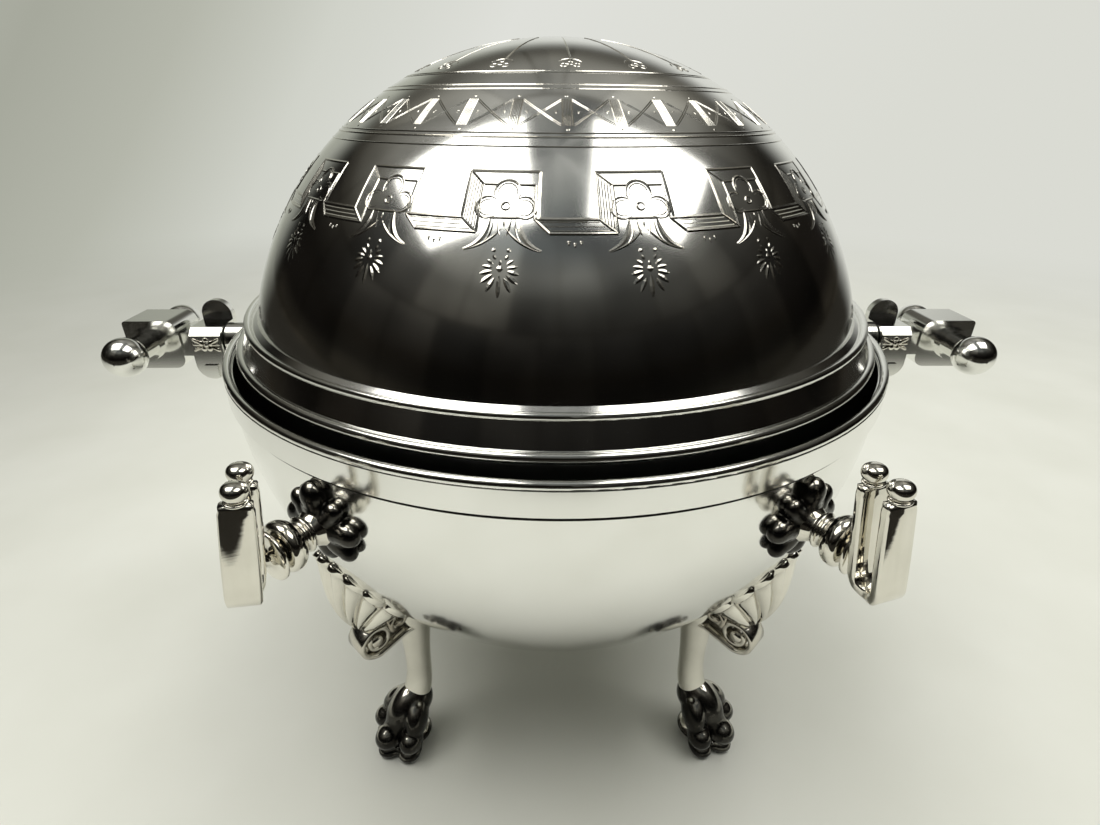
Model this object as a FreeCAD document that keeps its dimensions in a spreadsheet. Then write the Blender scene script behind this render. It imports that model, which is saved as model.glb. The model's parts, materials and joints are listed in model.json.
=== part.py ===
import FreeCAD, Part
import math
import os
import Sketcher
from FreeCAD import Matrix, Placement, Rotation, Vector

# A covered butter dish: a round bowl on four paw feet, with a dome that turns about two side
# pivots and rolls under the butter. X runs from side pivot to side pivot, the knife rests are
# at -Y, Z is up, and the origin is on the table midway between the feet. Millimetres, degrees.

SIZES = {
    # where the dish stands
    "pivot_height": 99.0,
    "overrun": 3.0,
    # bowl: a spun hemisphere about the pivot centre, with a short straight wall above it
    "bowl_radius": 74.2,
    "bowl_wall": 1.0,
    "bowl_straight": 4.1,
    "band_thick": 0.8,
    "band_drop": 0.4,
    "bead_wire": 0.8,
    "bead_seat": 0.6,
    # dome: a sphere that sits a little below the pivot, a flared skirt and an inner lip
    "dome_gap": 5.2,
    "dome_sink": 4.1,
    "dome_wall": 0.9,
    "shoulder_rise": 13.4,
    "skirt_step": 1.86,
    "skirt_top": 12.3,
    "skirt_low": 8.2,
    "lip_flare": 2.0,
    "lip_low": 1.0,
    "upper_wire": 0.7,
    "upper_wire_rise": 0.4,
    "upper_wire_stand": 0.1,
    "lower_wire": 0.9,
    "lower_wire_stand": 0.4,
    "lower_wire_drop": 1.0,
    "notch_radius": 3.1,
    # pivots
    "ear_thick": 1.2,
    "ear_half_width": 6.0,
    "ear_rise": 6.4,
    "shaft_radius": 2.4,
    "shaft_clearance": 0.05,
    "shaft_head_radius": 3.8,
    "shaft_head_thick": 1.1,
    "shaft_head_gap": 0.15,
    "hanger_radius": 1.9,
    "hanger_length": 4.6,
    "tang_width": 3.2,
    "tang_length": 13.0,
    "bush_radius": 4.0,
    "bush_neck_radius": 3.2,
    "bush_stand": 7.0,
    "bush_seat_depth": 1.0,
    # handle bracket: a block with a half-round tab up at the back and one down in front
    "bracket_gap": 0.3,
    "bracket_length": 7.4,
    "bracket_half_depth": 5.0,
    "bracket_half_height": 4.0,
    "bracket_bevel": 1.7,
    "tab_thick": 1.8,
    "tab_reach": 8.9,
    "stud_width": 3.1,
    "stud_stand": 0.5,
    "stud_drop": 6.7,
    "neck_length": 2.4,
    "neck_half_depth": 4.4,
    "neck_half_height": 3.0,
    # handle head, cross bar and balls
    "head_length": 12.7,
    "head_half_depth": 4.9,
    "head_half_height": 6.0,
    "head_round": 2.6,
    "head_edge": 0.9,
    "bar_radius": 2.0,
    "bar_reach": 9.5,
    "bar_offset": 8.5,
    "ball_radius": 4.6,
    "ball_reach": 13.0,
    "collar_radius": 4.0,
    "collar_thick": 1.2,
    "ball_neck_radius": 2.9,
    # knife rest: leaf mount on the bowl, turned arm, U-shaped fork with ball finials
    "knife_azimuth": 33.0,
    "knife_drop": 9.5,
    "arm_root_radius": 4.4,
    "arm_waist_radius": 1.9,
    "arm_knob_radius": 3.9,
    "arm_knob_half": 1.9,
    "arm_flange_radius": 3.6,
    "arm_flange_thick": 1.0,
    "arm_pin_radius": 1.2,
    "arm_knob_stand": 6.1,
    "arm_waist_gap": 2.1,
    "arm_flange_gap": 2.4,
    "arm_pin_reach": 5.7,
    "fork_stand": 14.53,
    "fork_drop": 11.0,
    "fork_lean": 8.0,
    "fork_radius": 4.0,
    "fork_strap": 1.8,
    "fork_width": 3.9,
    "fork_prong": 15.2,
    "finial_collar_radius": 1.9,
    "finial_collar_thick": 0.7,
    "finial_neck_radius": 1.1,
    "finial_neck": 0.4,
    "finial_half_height": 1.65,
    "finial_radius": 2.0,
    "finial_pin_radius": 0.5,
    "finial_pin": 2.0,
    "leaf_reach": 7.6,
    "leaf_half_width": 2.7,
    "leaf_thick": 1.9,
    # feet
    "foot_azimuth": 45.0,
    "leg_half_depth": 4.0,
    "leg_half_width": 3.7,
    "leg_rise": 2.45,
    "paw_offset": 2.3,
    "toe_reach": 8.2,
    "side_toe_reach": 6.6,
    "toe_spread": 52.0,
    "toe_length": 5.0,
    "toe_half_width": 3.9,
    "toe_height": 4.8,
    "volute_reach": 11.5,
    "volute_drop": 4.5,
    "volute_radius": 3.9,
    "volute_half_width": 2.9,
    "volute_eye_radius": 1.5,
    "volute_eye_stand": 0.4,
    "fan_top_stand": 0.6,
    "fan_top_drop": 29.0,
    "fan_top_width": 13.0,
    "fan_low_width": 5.4,
    "fan_thick": 2.0,
    # liner and drainer
    "liner_gap": 9.1,
    "liner_wall": 1.0,
    "liner_rim_drop": 0.6,
    "liner_rim_width": 2.8,
    "liner_taper": 4.0,
    "liner_ledge_drop": 15.0,
    "liner_ledge_width": 4.0,
    "liner_floor_inset": 16.6,
    "liner_floor_drop": 30.0,
    "liner_wire": 0.9,
    "saddle_half_width": 4.6,
    "saddle_top": 3.9,
    "saddle_gap": 0.15,
    "saddle_side_gap": 0.4,
    "saddle_stand": 4.3,
    "saddle_root": 3.4,
    "drainer_gap": 0.3,
    "drainer_thick": 0.9,
    "drainer_side_gap": 0.8,
    "drainer_hole": 1.9,
    "drainer_grip": 6.5,
}
DRAINER_HOLES = (8, 14, 20)
DRAINER_RING_SHARES = (0.316, 0.539, 0.762)

doc = FreeCAD.newDocument("butter_dish")
sheet = doc.addObject("Spreadsheet::Sheet", "Sizes")


class Size:
    """A value together with the expression on the sheet that gives it."""

    def __init__(self, value, text):
        self.value = float(value)
        self.text = text

    def __float__(self):
        return self.value

    def __add__(self, other):
        other = as_size(other)
        return Size(self.value + other.value, f"({self.text} + {other.text})")

    def __sub__(self, other):
        other = as_size(other)
        return Size(self.value - other.value, f"({self.text} - {other.text})")

    def __mul__(self, other):
        other = as_size(other)
        return Size(self.value * other.value, f"({self.text} * {other.text})")

    def __truediv__(self, other):
        other = as_size(other)
        return Size(self.value / other.value, f"({self.text} / {other.text})")

    def __rmul__(self, other):
        return as_size(other) * self

    def __neg__(self):
        return Size(-self.value, f"(0 - {self.text})")


def as_size(value):
    return value if isinstance(value, Size) else Size(value, repr(float(value)))


def leg_of(long_side, other_side):
    """The third side of a right triangle, from its hypotenuse and one other side."""
    square = long_side * long_side - other_side * other_side
    return Size(math.sqrt(square.value), f"sqrt({square.text})")


class Sheet:
    """Each alias of the sheet as an attribute."""


size = Sheet()
for row, (alias, number) in enumerate(SIZES.items(), start=1):
    sheet.set(f"A{row}", alias)
    sheet.set(f"B{row}", str(number))
    sheet.setAlias(f"B{row}", alias)
    setattr(size, alias, Size(number, f"Sizes.{alias}"))
doc.recompute()

ZERO = as_size(0.0)
NODES = []

# radii and reaches that follow the bowl
bush_end = size.bowl_radius + size.bush_stand
dome_radius = size.bowl_radius - size.dome_gap
shoulder_radius = leg_of(dome_radius, size.shoulder_rise + size.dome_sink)
skirt_radius = shoulder_radius + size.skirt_step
lip_radius = skirt_radius + size.lip_flare
liner_radius = dome_radius - size.liner_gap
liner_body_radius = liner_radius - size.liner_rim_width
liner_ledge_radius = liner_body_radius - size.liner_taper
liner_floor_radius = liner_ledge_radius - size.liner_floor_inset


def node(thing, label):
    """Gives a finished sub-part its own name and puts it on the export list."""
    thing.Label = label
    NODES.append(thing)
    return thing


def place(thing, at=(ZERO, ZERO, ZERO), turn=Rotation()):
    """Puts a sub-part at a point that stays bound to the sheet."""
    thing.Placement = Placement(Vector(*(float(value) for value in at)), turn)
    for axis, value in zip("xyz", at):
        if isinstance(value, Size):
            thing.setExpression(f"Placement.Base.{axis}", value.text)
    return thing


def primitive(kind, name, at=(ZERO, ZERO, ZERO), turn=Rotation(), **bound):
    thing = doc.addObject(f"Part::{kind}", name)
    for key, value in bound.items():
        thing.setExpression(key, as_size(value).text)
    return place(thing, at, turn)


def cut(name, base, tool):
    thing = doc.addObject("Part::Cut", name)
    thing.Base = base
    thing.Tool = tool
    return thing


def common(name, base, tool):
    thing = doc.addObject("Part::Common", name)
    thing.Base = base
    thing.Tool = tool
    return thing


def fuse(name, *shapes):
    thing = doc.addObject("Part::MultiFuse", name)
    thing.Shapes = list(shapes)
    return thing


def mirrored(source, label, normal):
    """The same casting on the other side of the dish."""
    thing = doc.addObject("Part::Mirroring", label)
    thing.Source = source
    thing.Normal = normal
    return node(thing, label)


def arc_centre(start, end, radius, side):
    """Centre of an arc of the given radius; side +1 puts it left of the way from start to end."""
    way = end.sub(start)
    half = way.Length / 2
    rise = math.sqrt(max(radius * radius - half * half, 0.0))
    normal = Vector(-way.y, way.x, 0).normalize()
    return start.add(way * 0.5).add(normal * rise * side)


def outline(body, plane, points):
    """A closed sketch. Each point is (x, y), or (x, y, radius, side) when an arc leads to it."""
    sketch = body.newObject("Sketcher::SketchObject", body.Name + "_outline")
    base = [item for item in body.Origin.OriginFeatures if item.Role == plane][0]
    sketch.AttachmentSupport = [(base, "")]
    sketch.MapMode = "FlatFace"
    corners = [Vector(float(item[0]), float(item[1]), 0) for item in points]
    count = len(points)
    ends = []
    for index, item in enumerate(points):
        start, end = corners[index - 1], corners[index]
        if len(item) == 2:
            sketch.addGeometry(Part.LineSegment(start, end), False)
            ends.append((1, 2))
            continue
        centre = arc_centre(start, end, float(item[2]), item[3])
        first = math.atan2(start.y - centre.y, start.x - centre.x)
        last = math.atan2(end.y - centre.y, end.x - centre.x)
        circle = Part.Circle(centre, Vector(0, 0, 1), float(item[2]))
        if item[3] > 0:
            sketch.addGeometry(Part.ArcOfCircle(circle, first, last), False)
            ends.append((1, 2))
        else:
            sketch.addGeometry(Part.ArcOfCircle(circle, last, first), False)
            ends.append((2, 1))
    for index, item in enumerate(points):
        following = (index + 1) % count
        meets = (index, ends[index][1], following, ends[following][0])
        sketch.addConstraint(Sketcher.Constraint("Coincident", *meets))
        for kind, axis, value in (("DistanceX", -2, item[0]), ("DistanceY", -1, item[1])):
            if float(value) == 0:
                pin = Sketcher.Constraint("PointOnObject", index, ends[index][1], axis)
                sketch.addConstraint(pin)
                continue
            pin = Sketcher.Constraint(kind, -1, 1, index, ends[index][1], float(value))
            number = sketch.addConstraint(pin)
            sketch.setExpression(f"Constraints[{number}]", as_size(value).text)
        if len(item) > 2:
            number = sketch.addConstraint(Sketcher.Constraint("Radius", index, float(item[2])))
            sketch.setExpression(f"Constraints[{number}]", as_size(item[2]).text)
    return sketch


def lathe(name, points, axis="V_Axis", at=(ZERO, ZERO, size.pivot_height), turn=Rotation()):
    """A body turned from an outline in the XZ plane, about the vertical or the X axis."""
    body = doc.addObject("PartDesign::Body", name)
    sketch = outline(body, "XZ_Plane", points)
    turned = body.newObject("PartDesign::Revolution", name + "_turned")
    turned.Profile = sketch
    turned.ReferenceAxis = (sketch, [axis])
    turned.Angle = 360.0
    body.Tip = turned
    return place(body, at, turn)


def prism(name, plane, points, length, at=(ZERO, ZERO, size.pivot_height), turn=Rotation()):
    """A body padded to both sides of its plane."""
    body = doc.addObject("PartDesign::Body", name)
    sketch = outline(body, plane, points)
    pad = body.newObject("PartDesign::Pad", name + "_pad")
    pad.Profile = sketch
    pad.setExpression("Length", length.text)
    pad.SideType = "Symmetric"
    body.Tip = pad
    return place(body, at, turn)


WIRE_ARCS = 12


def wire_ring(name, radius, rise, wire):
    """A round wire bent to a ring about the vertical, its section drawn as equal arcs."""
    points = []
    for index in range(WIRE_ARCS):
        angle = 2 * math.pi * (index + 0.5) / WIRE_ARCS
        points.append((radius + wire * math.cos(angle), rise + wire * math.sin(angle), wire, 1))
    return lathe(name, points)


TO_X = Rotation(Vector(0, 1, 0), 90)
TO_Y = Rotation(Vector(1, 0, 0), -90)


# bowl

bowl_inner = size.bowl_radius - size.bowl_wall
bowl_blank = lathe("bowl_blank", [
    (ZERO, -bowl_inner, bowl_inner, -1),
    (ZERO, -size.bowl_radius),
    (size.bowl_radius, ZERO, size.bowl_radius, 1),
    (size.bowl_radius, size.bowl_straight),
    (bowl_inner, size.bowl_straight),
    (bowl_inner, ZERO),
])
bush_hole = primitive("Cylinder", "bush_hole",
                      at=(-bush_end, ZERO, size.pivot_height), turn=TO_X,
                      Radius=size.bush_neck_radius, Height=bush_end * 2)
bowl_shell = node(cut("bowl_cut", bowl_blank, bush_hole), "bowl_shell")

band_outer = size.bowl_radius + size.band_thick
band_blank = lathe("band_blank", [
    (size.bowl_radius, -size.band_drop),
    (band_outer, -size.band_drop),
    (band_outer, size.bowl_straight),
    (size.bowl_radius, size.bowl_straight),
])
rim_band = node(cut("band_cut", band_blank, bush_hole), "rim_band")

bead_blank = wire_ring("bead_blank", size.bowl_radius, size.bowl_straight + size.bead_seat,
                       size.bead_wire)
bead_on_bowl = cut("bead_on_bowl", bead_blank, bowl_blank)
rim_bead = node(cut("bead_on_band", bead_on_bowl, band_blank), "rim_bead")


# pivot bush: a neck through the wall and a barrel outside, saddled to the band

bush_start = bowl_inner - size.bush_seat_depth
barrel_start = size.bowl_radius - size.bush_seat_depth
bush_bore = size.shaft_radius + size.shaft_clearance
bush_blank = lathe("bush_blank", [
    (bush_start, bush_bore),
    (bush_end, bush_bore),
    (bush_end, size.bush_radius),
    (barrel_start, size.bush_radius),
    (barrel_start, size.bush_neck_radius),
    (bush_start, size.bush_neck_radius),
], axis="H_Axis")
bowl_room = primitive("Sphere", "bowl_room", at=(ZERO, ZERO, size.pivot_height),
                      Radius=bowl_inner)
bush_flush = cut("bush_flush", bush_blank, bowl_room)
bush_on_bowl = cut("bush_on_bowl", bush_flush, bowl_shell)
bush_right = node(cut("bush_saddled", bush_on_bowl, rim_band), "pivot_bush_right")
mirrored(bush_right, "pivot_bush_left", Vector(1, 0, 0))


# dome

dome_apex = dome_radius - size.dome_sink
half_wall = size.dome_wall * 0.5
inner_radius = dome_radius - size.dome_wall
inner_shoulder = size.shoulder_rise - half_wall
inner_shoulder_radius = leg_of(inner_radius, inner_shoulder + size.dome_sink)
lip_inner = lip_radius - size.dome_wall
dome_blank = lathe("dome_blank", [
    (ZERO, dome_apex, dome_radius, 1),
    (ZERO, dome_apex - size.dome_wall),
    (inner_shoulder_radius, inner_shoulder, inner_radius, -1),
    (skirt_radius - size.dome_wall, size.skirt_top - half_wall),
    (lip_inner, size.skirt_low - half_wall),
    (lip_inner, size.lip_low),
    (lip_radius, size.lip_low),
    (lip_radius, size.skirt_low),
    (skirt_radius, size.skirt_top),
    (shoulder_radius, size.shoulder_rise),
])
shaft_notch = primitive("Cylinder", "shaft_notch",
                        at=(-bush_end, ZERO, size.pivot_height), turn=TO_X,
                        Radius=size.notch_radius, Height=bush_end * 2)
dome_shell = node(cut("dome_notched", dome_blank, shaft_notch), "dome_shell")

upper_blank = wire_ring("upper_blank", skirt_radius + size.upper_wire_stand,
                        size.skirt_top + size.upper_wire_rise, size.upper_wire)
node(cut("upper_wire_seated", upper_blank, dome_shell), "dome_upper_bead")
lower_height = size.pivot_height + size.skirt_low - size.lower_wire_drop
lower_torus = primitive("Torus", "lower_torus", at=(ZERO, ZERO, lower_height),
                        Radius1=lip_radius + size.lower_wire_stand,
                        Radius2=size.lower_wire)
node(cut("lower_wire_seated", lower_torus, dome_shell), "dome_lower_bead")


# pivot ear: a round-ended tab that hugs the inside of the lip

ear_tab = prism("ear_tab", "YZ_Plane", [
    (size.ear_half_width, ZERO, size.ear_half_width, 1),
    (size.ear_half_width, size.ear_rise),
    (-size.ear_half_width, size.ear_rise),
    (-size.ear_half_width, ZERO),
    (ZERO, -size.ear_half_width, size.ear_half_width, 1),
], lip_radius * 2)
ear_low = size.pivot_height - size.ear_half_width - size.overrun
ear_span = size.ear_rise + size.ear_half_width + size.overrun * 2
ear_outer = primitive("Cylinder", "ear_outer", at=(ZERO, ZERO, ear_low),
                      Radius=lip_inner, Height=ear_span)
ear_core = primitive("Cylinder", "ear_core", at=(ZERO, ZERO, ear_low),
                     Radius=lip_inner - size.ear_thick, Height=ear_span)
ear_ring = cut("ear_ring", ear_outer, ear_core)
ear_pair = common("ear_pair", ear_ring, ear_tab)
ear_side = primitive("Box", "ear_side",
                     at=(ZERO, -lip_radius, size.pivot_height - lip_radius),
                     Length=lip_radius, Width=lip_radius * 2,
                     Height=lip_radius * 2)
ear_solid = common("ear_solid", ear_pair, ear_side)
shaft_hole = primitive("Cylinder", "shaft_hole", at=(ZERO, ZERO, size.pivot_height), turn=TO_X,
                       Radius=size.shaft_radius, Height=bush_end)
ear_right = node(cut("ear_bored", ear_solid, shaft_hole), "dome_ear_right")
mirrored(ear_right, "dome_ear_left", Vector(1, 0, 0))


# pivot shaft: hanger pin for the liner, head against the ear, journal, square tang

head_face = lip_inner - size.ear_thick - size.shaft_head_gap
head_back = head_face - size.shaft_head_thick
bracket_start = bush_end + size.bracket_gap
journal = lathe("shaft_turned", [
    (head_back - size.hanger_length, ZERO),
    (bracket_start, ZERO),
    (bracket_start, size.shaft_radius),
    (head_face, size.shaft_radius),
    (head_face, size.shaft_head_radius),
    (head_back, size.shaft_head_radius),
    (head_back, size.hanger_radius),
    (head_back - size.hanger_length, size.hanger_radius),
], axis="H_Axis")
half_tang = size.tang_width * 0.5
tang = primitive("Box", "shaft_tang",
                 at=(bracket_start, -half_tang, size.pivot_height - half_tang),
                 Length=size.tang_length, Width=size.tang_width, Height=size.tang_width)
shaft_right = node(fuse("shaft_whole", journal, tang), "pivot_shaft_right")
mirrored(shaft_right, "pivot_shaft_left", Vector(1, 0, 0))


# handle bracket

half_bracket = size.bracket_length * 0.5
bracket_middle = bracket_start + half_bracket
bevel_depth = size.bracket_half_depth - size.bracket_bevel
bevel_height = size.bracket_half_height - size.bracket_bevel
bracket_block = prism("bracket_block", "YZ_Plane", [
    (size.bracket_half_depth, -bevel_height),
    (size.bracket_half_depth, bevel_height),
    (bevel_depth, size.bracket_half_height),
    (-bevel_depth, size.bracket_half_height),
    (-size.bracket_half_depth, bevel_height),
    (-size.bracket_half_depth, -bevel_height),
    (-bevel_depth, -size.bracket_half_height),
    (bevel_depth, -size.bracket_half_height),
], size.bracket_length, at=(bracket_middle, ZERO, size.pivot_height))
bracket_neck = primitive("Box", "bracket_neck",
                         at=(bracket_start + size.bracket_length, -size.neck_half_depth,
                             size.pivot_height - size.neck_half_height),
                         Length=size.neck_length, Width=size.neck_half_depth * 2,
                         Height=size.neck_half_height * 2)
tab_straight = size.tab_reach - half_bracket
tab_offset = size.bracket_half_depth - size.tab_thick * 0.5
stud_offset = size.bracket_half_depth + size.stud_stand * 0.5
half_stud = size.stud_width * 0.5
castings = [bracket_block, bracket_neck]
for label, way in (("back", 1.0), ("front", -1.0)):
    castings.append(prism(f"tab_{label}", "XZ_Plane", [
        (half_bracket, size.bracket_half_height * (0.5 * way)),
        (half_bracket, tab_straight * way),
        (ZERO, size.tab_reach * way, half_bracket, way),
        (-half_bracket, tab_straight * way, half_bracket, way),
        (-half_bracket, size.bracket_half_height * (0.5 * way)),
    ], size.tab_thick, at=(bracket_middle, tab_offset * way, size.pivot_height)))
    castings.append(prism(f"stud_{label}", "XZ_Plane", [
        (half_stud, size.stud_drop * way - half_stud),
        (half_stud, size.stud_drop * way + half_stud),
        (-half_stud, size.stud_drop * way + half_stud),
        (-half_stud, size.stud_drop * way - half_stud),
    ], size.stud_stand, at=(bracket_middle, stud_offset * way, size.pivot_height)))
bracket_cast = fuse("bracket_cast", *castings)
bracket_right = node(cut("bracket_holed", bracket_cast, tang), "handle_bracket_right")
mirrored(bracket_right, "handle_bracket_left", Vector(1, 0, 0))


# handle head with its cross bar and the two collared balls

head_start = bracket_start + size.bracket_length + size.neck_length
head_end = head_start + size.head_length
bar_at = head_start + size.bar_offset
rise = size.head_half_height
head_block = prism("head_block", "XZ_Plane", [
    (head_start + size.head_round, -rise, size.head_round, 1),
    (head_end - size.head_edge, -rise),
    (head_end, -rise + size.head_edge, size.head_edge, 1),
    (head_end, rise - size.head_edge),
    (head_end - size.head_edge, rise, size.head_edge, 1),
    (head_start + size.head_round, rise),
    (head_start, rise - size.head_round, size.head_round, 1),
    (head_start, -rise + size.head_round),
], size.head_half_depth * 2)
bar_blank = primitive("Cylinder", "bar_blank", at=(bar_at, -size.bar_reach, size.pivot_height),
                      turn=TO_Y, Radius=size.bar_radius, Height=size.bar_reach * 2)
bar_right = node(bar_blank, "handle_bar_right")
head_drilled = cut("head_drilled", head_block, bar_blank)
head_right = node(cut("head_pocketed", head_drilled, tang), "handle_head_right")
collar_end = size.head_half_depth + size.collar_thick
ball_root = size.ball_reach - leg_of(size.ball_radius, size.ball_neck_radius)
ball_blank = lathe("ball_blank", [
    (size.head_half_depth, ZERO),
    (size.ball_reach + size.ball_radius, ZERO),
    (size.ball_reach, size.ball_radius, size.ball_radius, 1),
    (ball_root, size.ball_neck_radius, size.ball_radius, 1),
    (collar_end, size.ball_neck_radius),
    (collar_end, size.collar_radius),
    (size.head_half_depth, size.collar_radius),
], axis="H_Axis", at=(bar_at, ZERO, size.pivot_height), turn=Rotation(Vector(0, 0, 1), -90))
ball_front = node(cut("ball_drilled", ball_blank, bar_blank), "handle_ball_front_right")
ball_back = mirrored(ball_front, "handle_ball_back_right", Vector(0, 1, 0))
for source, label in ((head_right, "handle_head_left"), (bar_right, "handle_bar_left"),
                      (ball_front, "handle_ball_front_left"), (ball_back, "handle_ball_back_left")):
    mirrored(source, label, Vector(1, 0, 0))


# knife rest arm: trumpet root, knob, flange and pin, turned about a radial line

arm_height = size.pivot_height - size.knife_drop
arm_root = leg_of(size.bowl_radius, size.knife_drop + size.arm_root_radius)
knob_at = size.bowl_radius + size.arm_knob_stand
waist_at = knob_at - size.arm_waist_gap
flange_at = knob_at + size.arm_flange_gap
pin_end = knob_at + size.arm_pin_reach
knob_start = knob_at - size.arm_knob_half
knob_end = knob_at + size.arm_knob_half
knob_rise = size.arm_knob_radius - size.arm_waist_radius
knob_round = (knob_rise * knob_rise + size.arm_knob_half * size.arm_knob_half) / (knob_rise * 2)
flange_end = flange_at + size.arm_flange_thick
trumpet_run = waist_at - arm_root
trumpet_rise = size.arm_root_radius - size.arm_waist_radius
trumpet_round = (trumpet_run * trumpet_run + trumpet_rise * trumpet_rise) / (trumpet_rise * 2)
arm_turn = Rotation(Vector(0, 0, 1), SIZES["knife_azimuth"] - 90)
arm_blank = lathe("arm_blank", [
    (arm_root - size.overrun, ZERO),
    (pin_end, ZERO),
    (pin_end, size.arm_pin_radius),
    (flange_end, size.arm_pin_radius),
    (flange_end, size.arm_flange_radius),
    (flange_at, size.arm_flange_radius),
    (flange_at, size.arm_waist_radius),
    (knob_end, size.arm_waist_radius),
    (knob_at, size.arm_knob_radius, knob_round, 1),
    (knob_start, size.arm_waist_radius, knob_round, 1),
    (waist_at, size.arm_waist_radius),
    (arm_root, size.arm_root_radius, trumpet_round, -1),
    (arm_root - size.overrun, size.arm_root_radius),
], axis="H_Axis", at=(ZERO, ZERO, arm_height), turn=arm_turn)
bowl_form = primitive("Sphere", "bowl_form", at=(ZERO, ZERO, size.pivot_height),
                      Radius=size.bowl_radius)
arm_right = node(cut("arm_seated", arm_blank, bowl_form), "knife_arm_right")
mirrored(arm_right, "knife_arm_left", Vector(1, 0, 0))


# fork: a bent strap, its tops leaning in, drilled for the arm's pin

FORK_WAY_SHARES = (0.53082, 0.84752)
prong_inner = size.fork_radius - size.fork_strap
fork_turn = Rotation(Vector(0, 1, 0), -SIZES["fork_lean"])
fork_reach = size.bowl_radius + size.fork_stand
fork_at = (fork_reach * FORK_WAY_SHARES[0], -(fork_reach * FORK_WAY_SHARES[1]),
           size.pivot_height - size.fork_drop)
fork_blank = prism("fork_blank", "YZ_Plane", [
    (-size.fork_radius, size.fork_prong),
    (-size.fork_radius, ZERO),
    (ZERO, -size.fork_radius, size.fork_radius, 1),
    (size.fork_radius, ZERO, size.fork_radius, 1),
    (size.fork_radius, size.fork_prong),
    (prong_inner, size.fork_prong),
    (prong_inner, ZERO),
    (ZERO, -prong_inner, prong_inner, -1),
    (-prong_inner, ZERO, prong_inner, -1),
    (-prong_inner, size.fork_prong),
], size.fork_width, at=fork_at, turn=fork_turn)
fork_drilled = cut("fork_drilled", fork_blank, arm_blank)
prong_middle = size.fork_radius - size.fork_strap * 0.5
neck_top = size.finial_collar_thick + size.finial_neck
cap_radius = size.finial_radius
belly = neck_top + size.finial_half_height
cap_rise = size.finial_half_height
cap_round = (cap_rise * cap_rise + cap_radius * cap_radius) / (cap_rise * 2)
finial_points = [
    (ZERO, -size.finial_pin),
    (size.finial_pin_radius, -size.finial_pin),
    (size.finial_pin_radius, ZERO),
    (size.finial_collar_radius, ZERO),
    (size.finial_collar_radius, size.finial_collar_thick),
    (size.finial_neck_radius, size.finial_collar_thick),
    (size.finial_neck_radius, neck_top),
    (cap_radius * 0.72, neck_top + cap_rise * 0.3),
    (cap_radius, belly),
    (cap_radius * 0.72, belly + cap_rise * 0.7),
    (ZERO, belly + cap_rise),
]
fork_base = Vector(*(float(value) for value in fork_at))
finials = []
for label, way in (("front", -1.0), ("back", 1.0)):
    offset = Vector(0, float(prong_middle) * way, float(size.fork_prong))
    point = fork_base.add(fork_turn.multVec(offset))
    finial = lathe(f"finial_{label}", finial_points, at=tuple(point), turn=fork_turn)
    finials.append(node(finial, f"fork_ball_{label}_right"))
fork_right = cut("fork_pinned_front", fork_drilled, finials[0])
fork_right = node(cut("fork_pinned_back", fork_right, finials[1]), "knife_fork_right")
mirrored(fork_right, "knife_fork_left", Vector(1, 0, 0))
mirrored(finials[0], "fork_ball_front_left", Vector(1, 0, 0))
mirrored(finials[1], "fork_ball_back_left", Vector(1, 0, 0))
doc.recompute()


# cast forms: the leaf mounts, the legs and the fan leaves are set with lofts and ovals

def scaled(shape, x, y, z):
    matrix = Matrix()
    matrix.scale(float(x), float(y), float(z))
    return shape.transformGeometry(matrix)


def moved(shape, at, turn=Rotation()):
    copy = shape.copy()
    copy.Placement = Placement(at, turn).multiply(copy.Placement)
    return copy


def egg(half_x, half_y, half_z, at, turn=Rotation()):
    """An ellipsoid."""
    return moved(scaled(Part.makeSphere(1.0), half_x, half_y, half_z), at, turn)


def oval(half_x, half_y, at, turn=Rotation()):
    """An elliptical wire whose seam is on its own +X side."""
    ring = Part.Wire([Part.makeCircle(1.0)])
    return moved(scaled(ring, half_x, half_y, 1.0), at, turn)


def cast(shape, label, turn):
    thing = doc.addObject("Part::Feature", label)
    thing.Shape = shape
    thing.Placement = Placement(Vector(), turn)
    return node(thing, label)


bowl_ball = Part.makeSphere(SIZES["bowl_radius"], Vector(0, 0, SIZES["pivot_height"]))

# leaf mount: five pointed lobes round a low boss, in the frame of the arm. Each lobe is
# (angle from straight up, share of the reach)
LOBE_SHARES = ((0, 0.80), (66, 0.86), (-66, 0.86), (140, 1.0), (-140, 1.0))


def leaf_mount():
    drop = SIZES["knife_drop"]
    seat_at = math.sqrt(SIZES["bowl_radius"] ** 2 - drop ** 2)
    seat = Vector(seat_at, 0, SIZES["pivot_height"] - drop)
    tilt = Rotation(Vector(0, 1, 0), math.degrees(math.asin(drop / SIZES["bowl_radius"])))
    reach = SIZES["leaf_reach"]
    width = SIZES["leaf_half_width"]
    thick = SIZES["leaf_thick"]
    boss = SIZES["arm_root_radius"]
    body = egg(thick, boss, boss, seat, tilt)
    for angle, share in LOBE_SHARES:
        length = reach * share
        spin = tilt.multiply(Rotation(Vector(1, 0, 0), angle))
        middle = seat.add(spin.multVec(Vector(0, 0, length * 0.56)))
        body = body.fuse(egg(thick, width, length * 0.5, middle, spin))
    return body.cut(bowl_ball)


arm_shape = arm_right.Shape.copy()
arm_shape.Placement = Placement(Vector(), arm_turn).inverse().multiply(arm_shape.Placement)
leaf_right = cast(leaf_mount().cut(arm_shape), "knife_leaf_right", arm_turn)
mirrored(leaf_right, "knife_leaf_left", Vector(1, 0, 0))


# leg: column, volute on a short arm, paw with three toes, cut flat at the table

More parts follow.
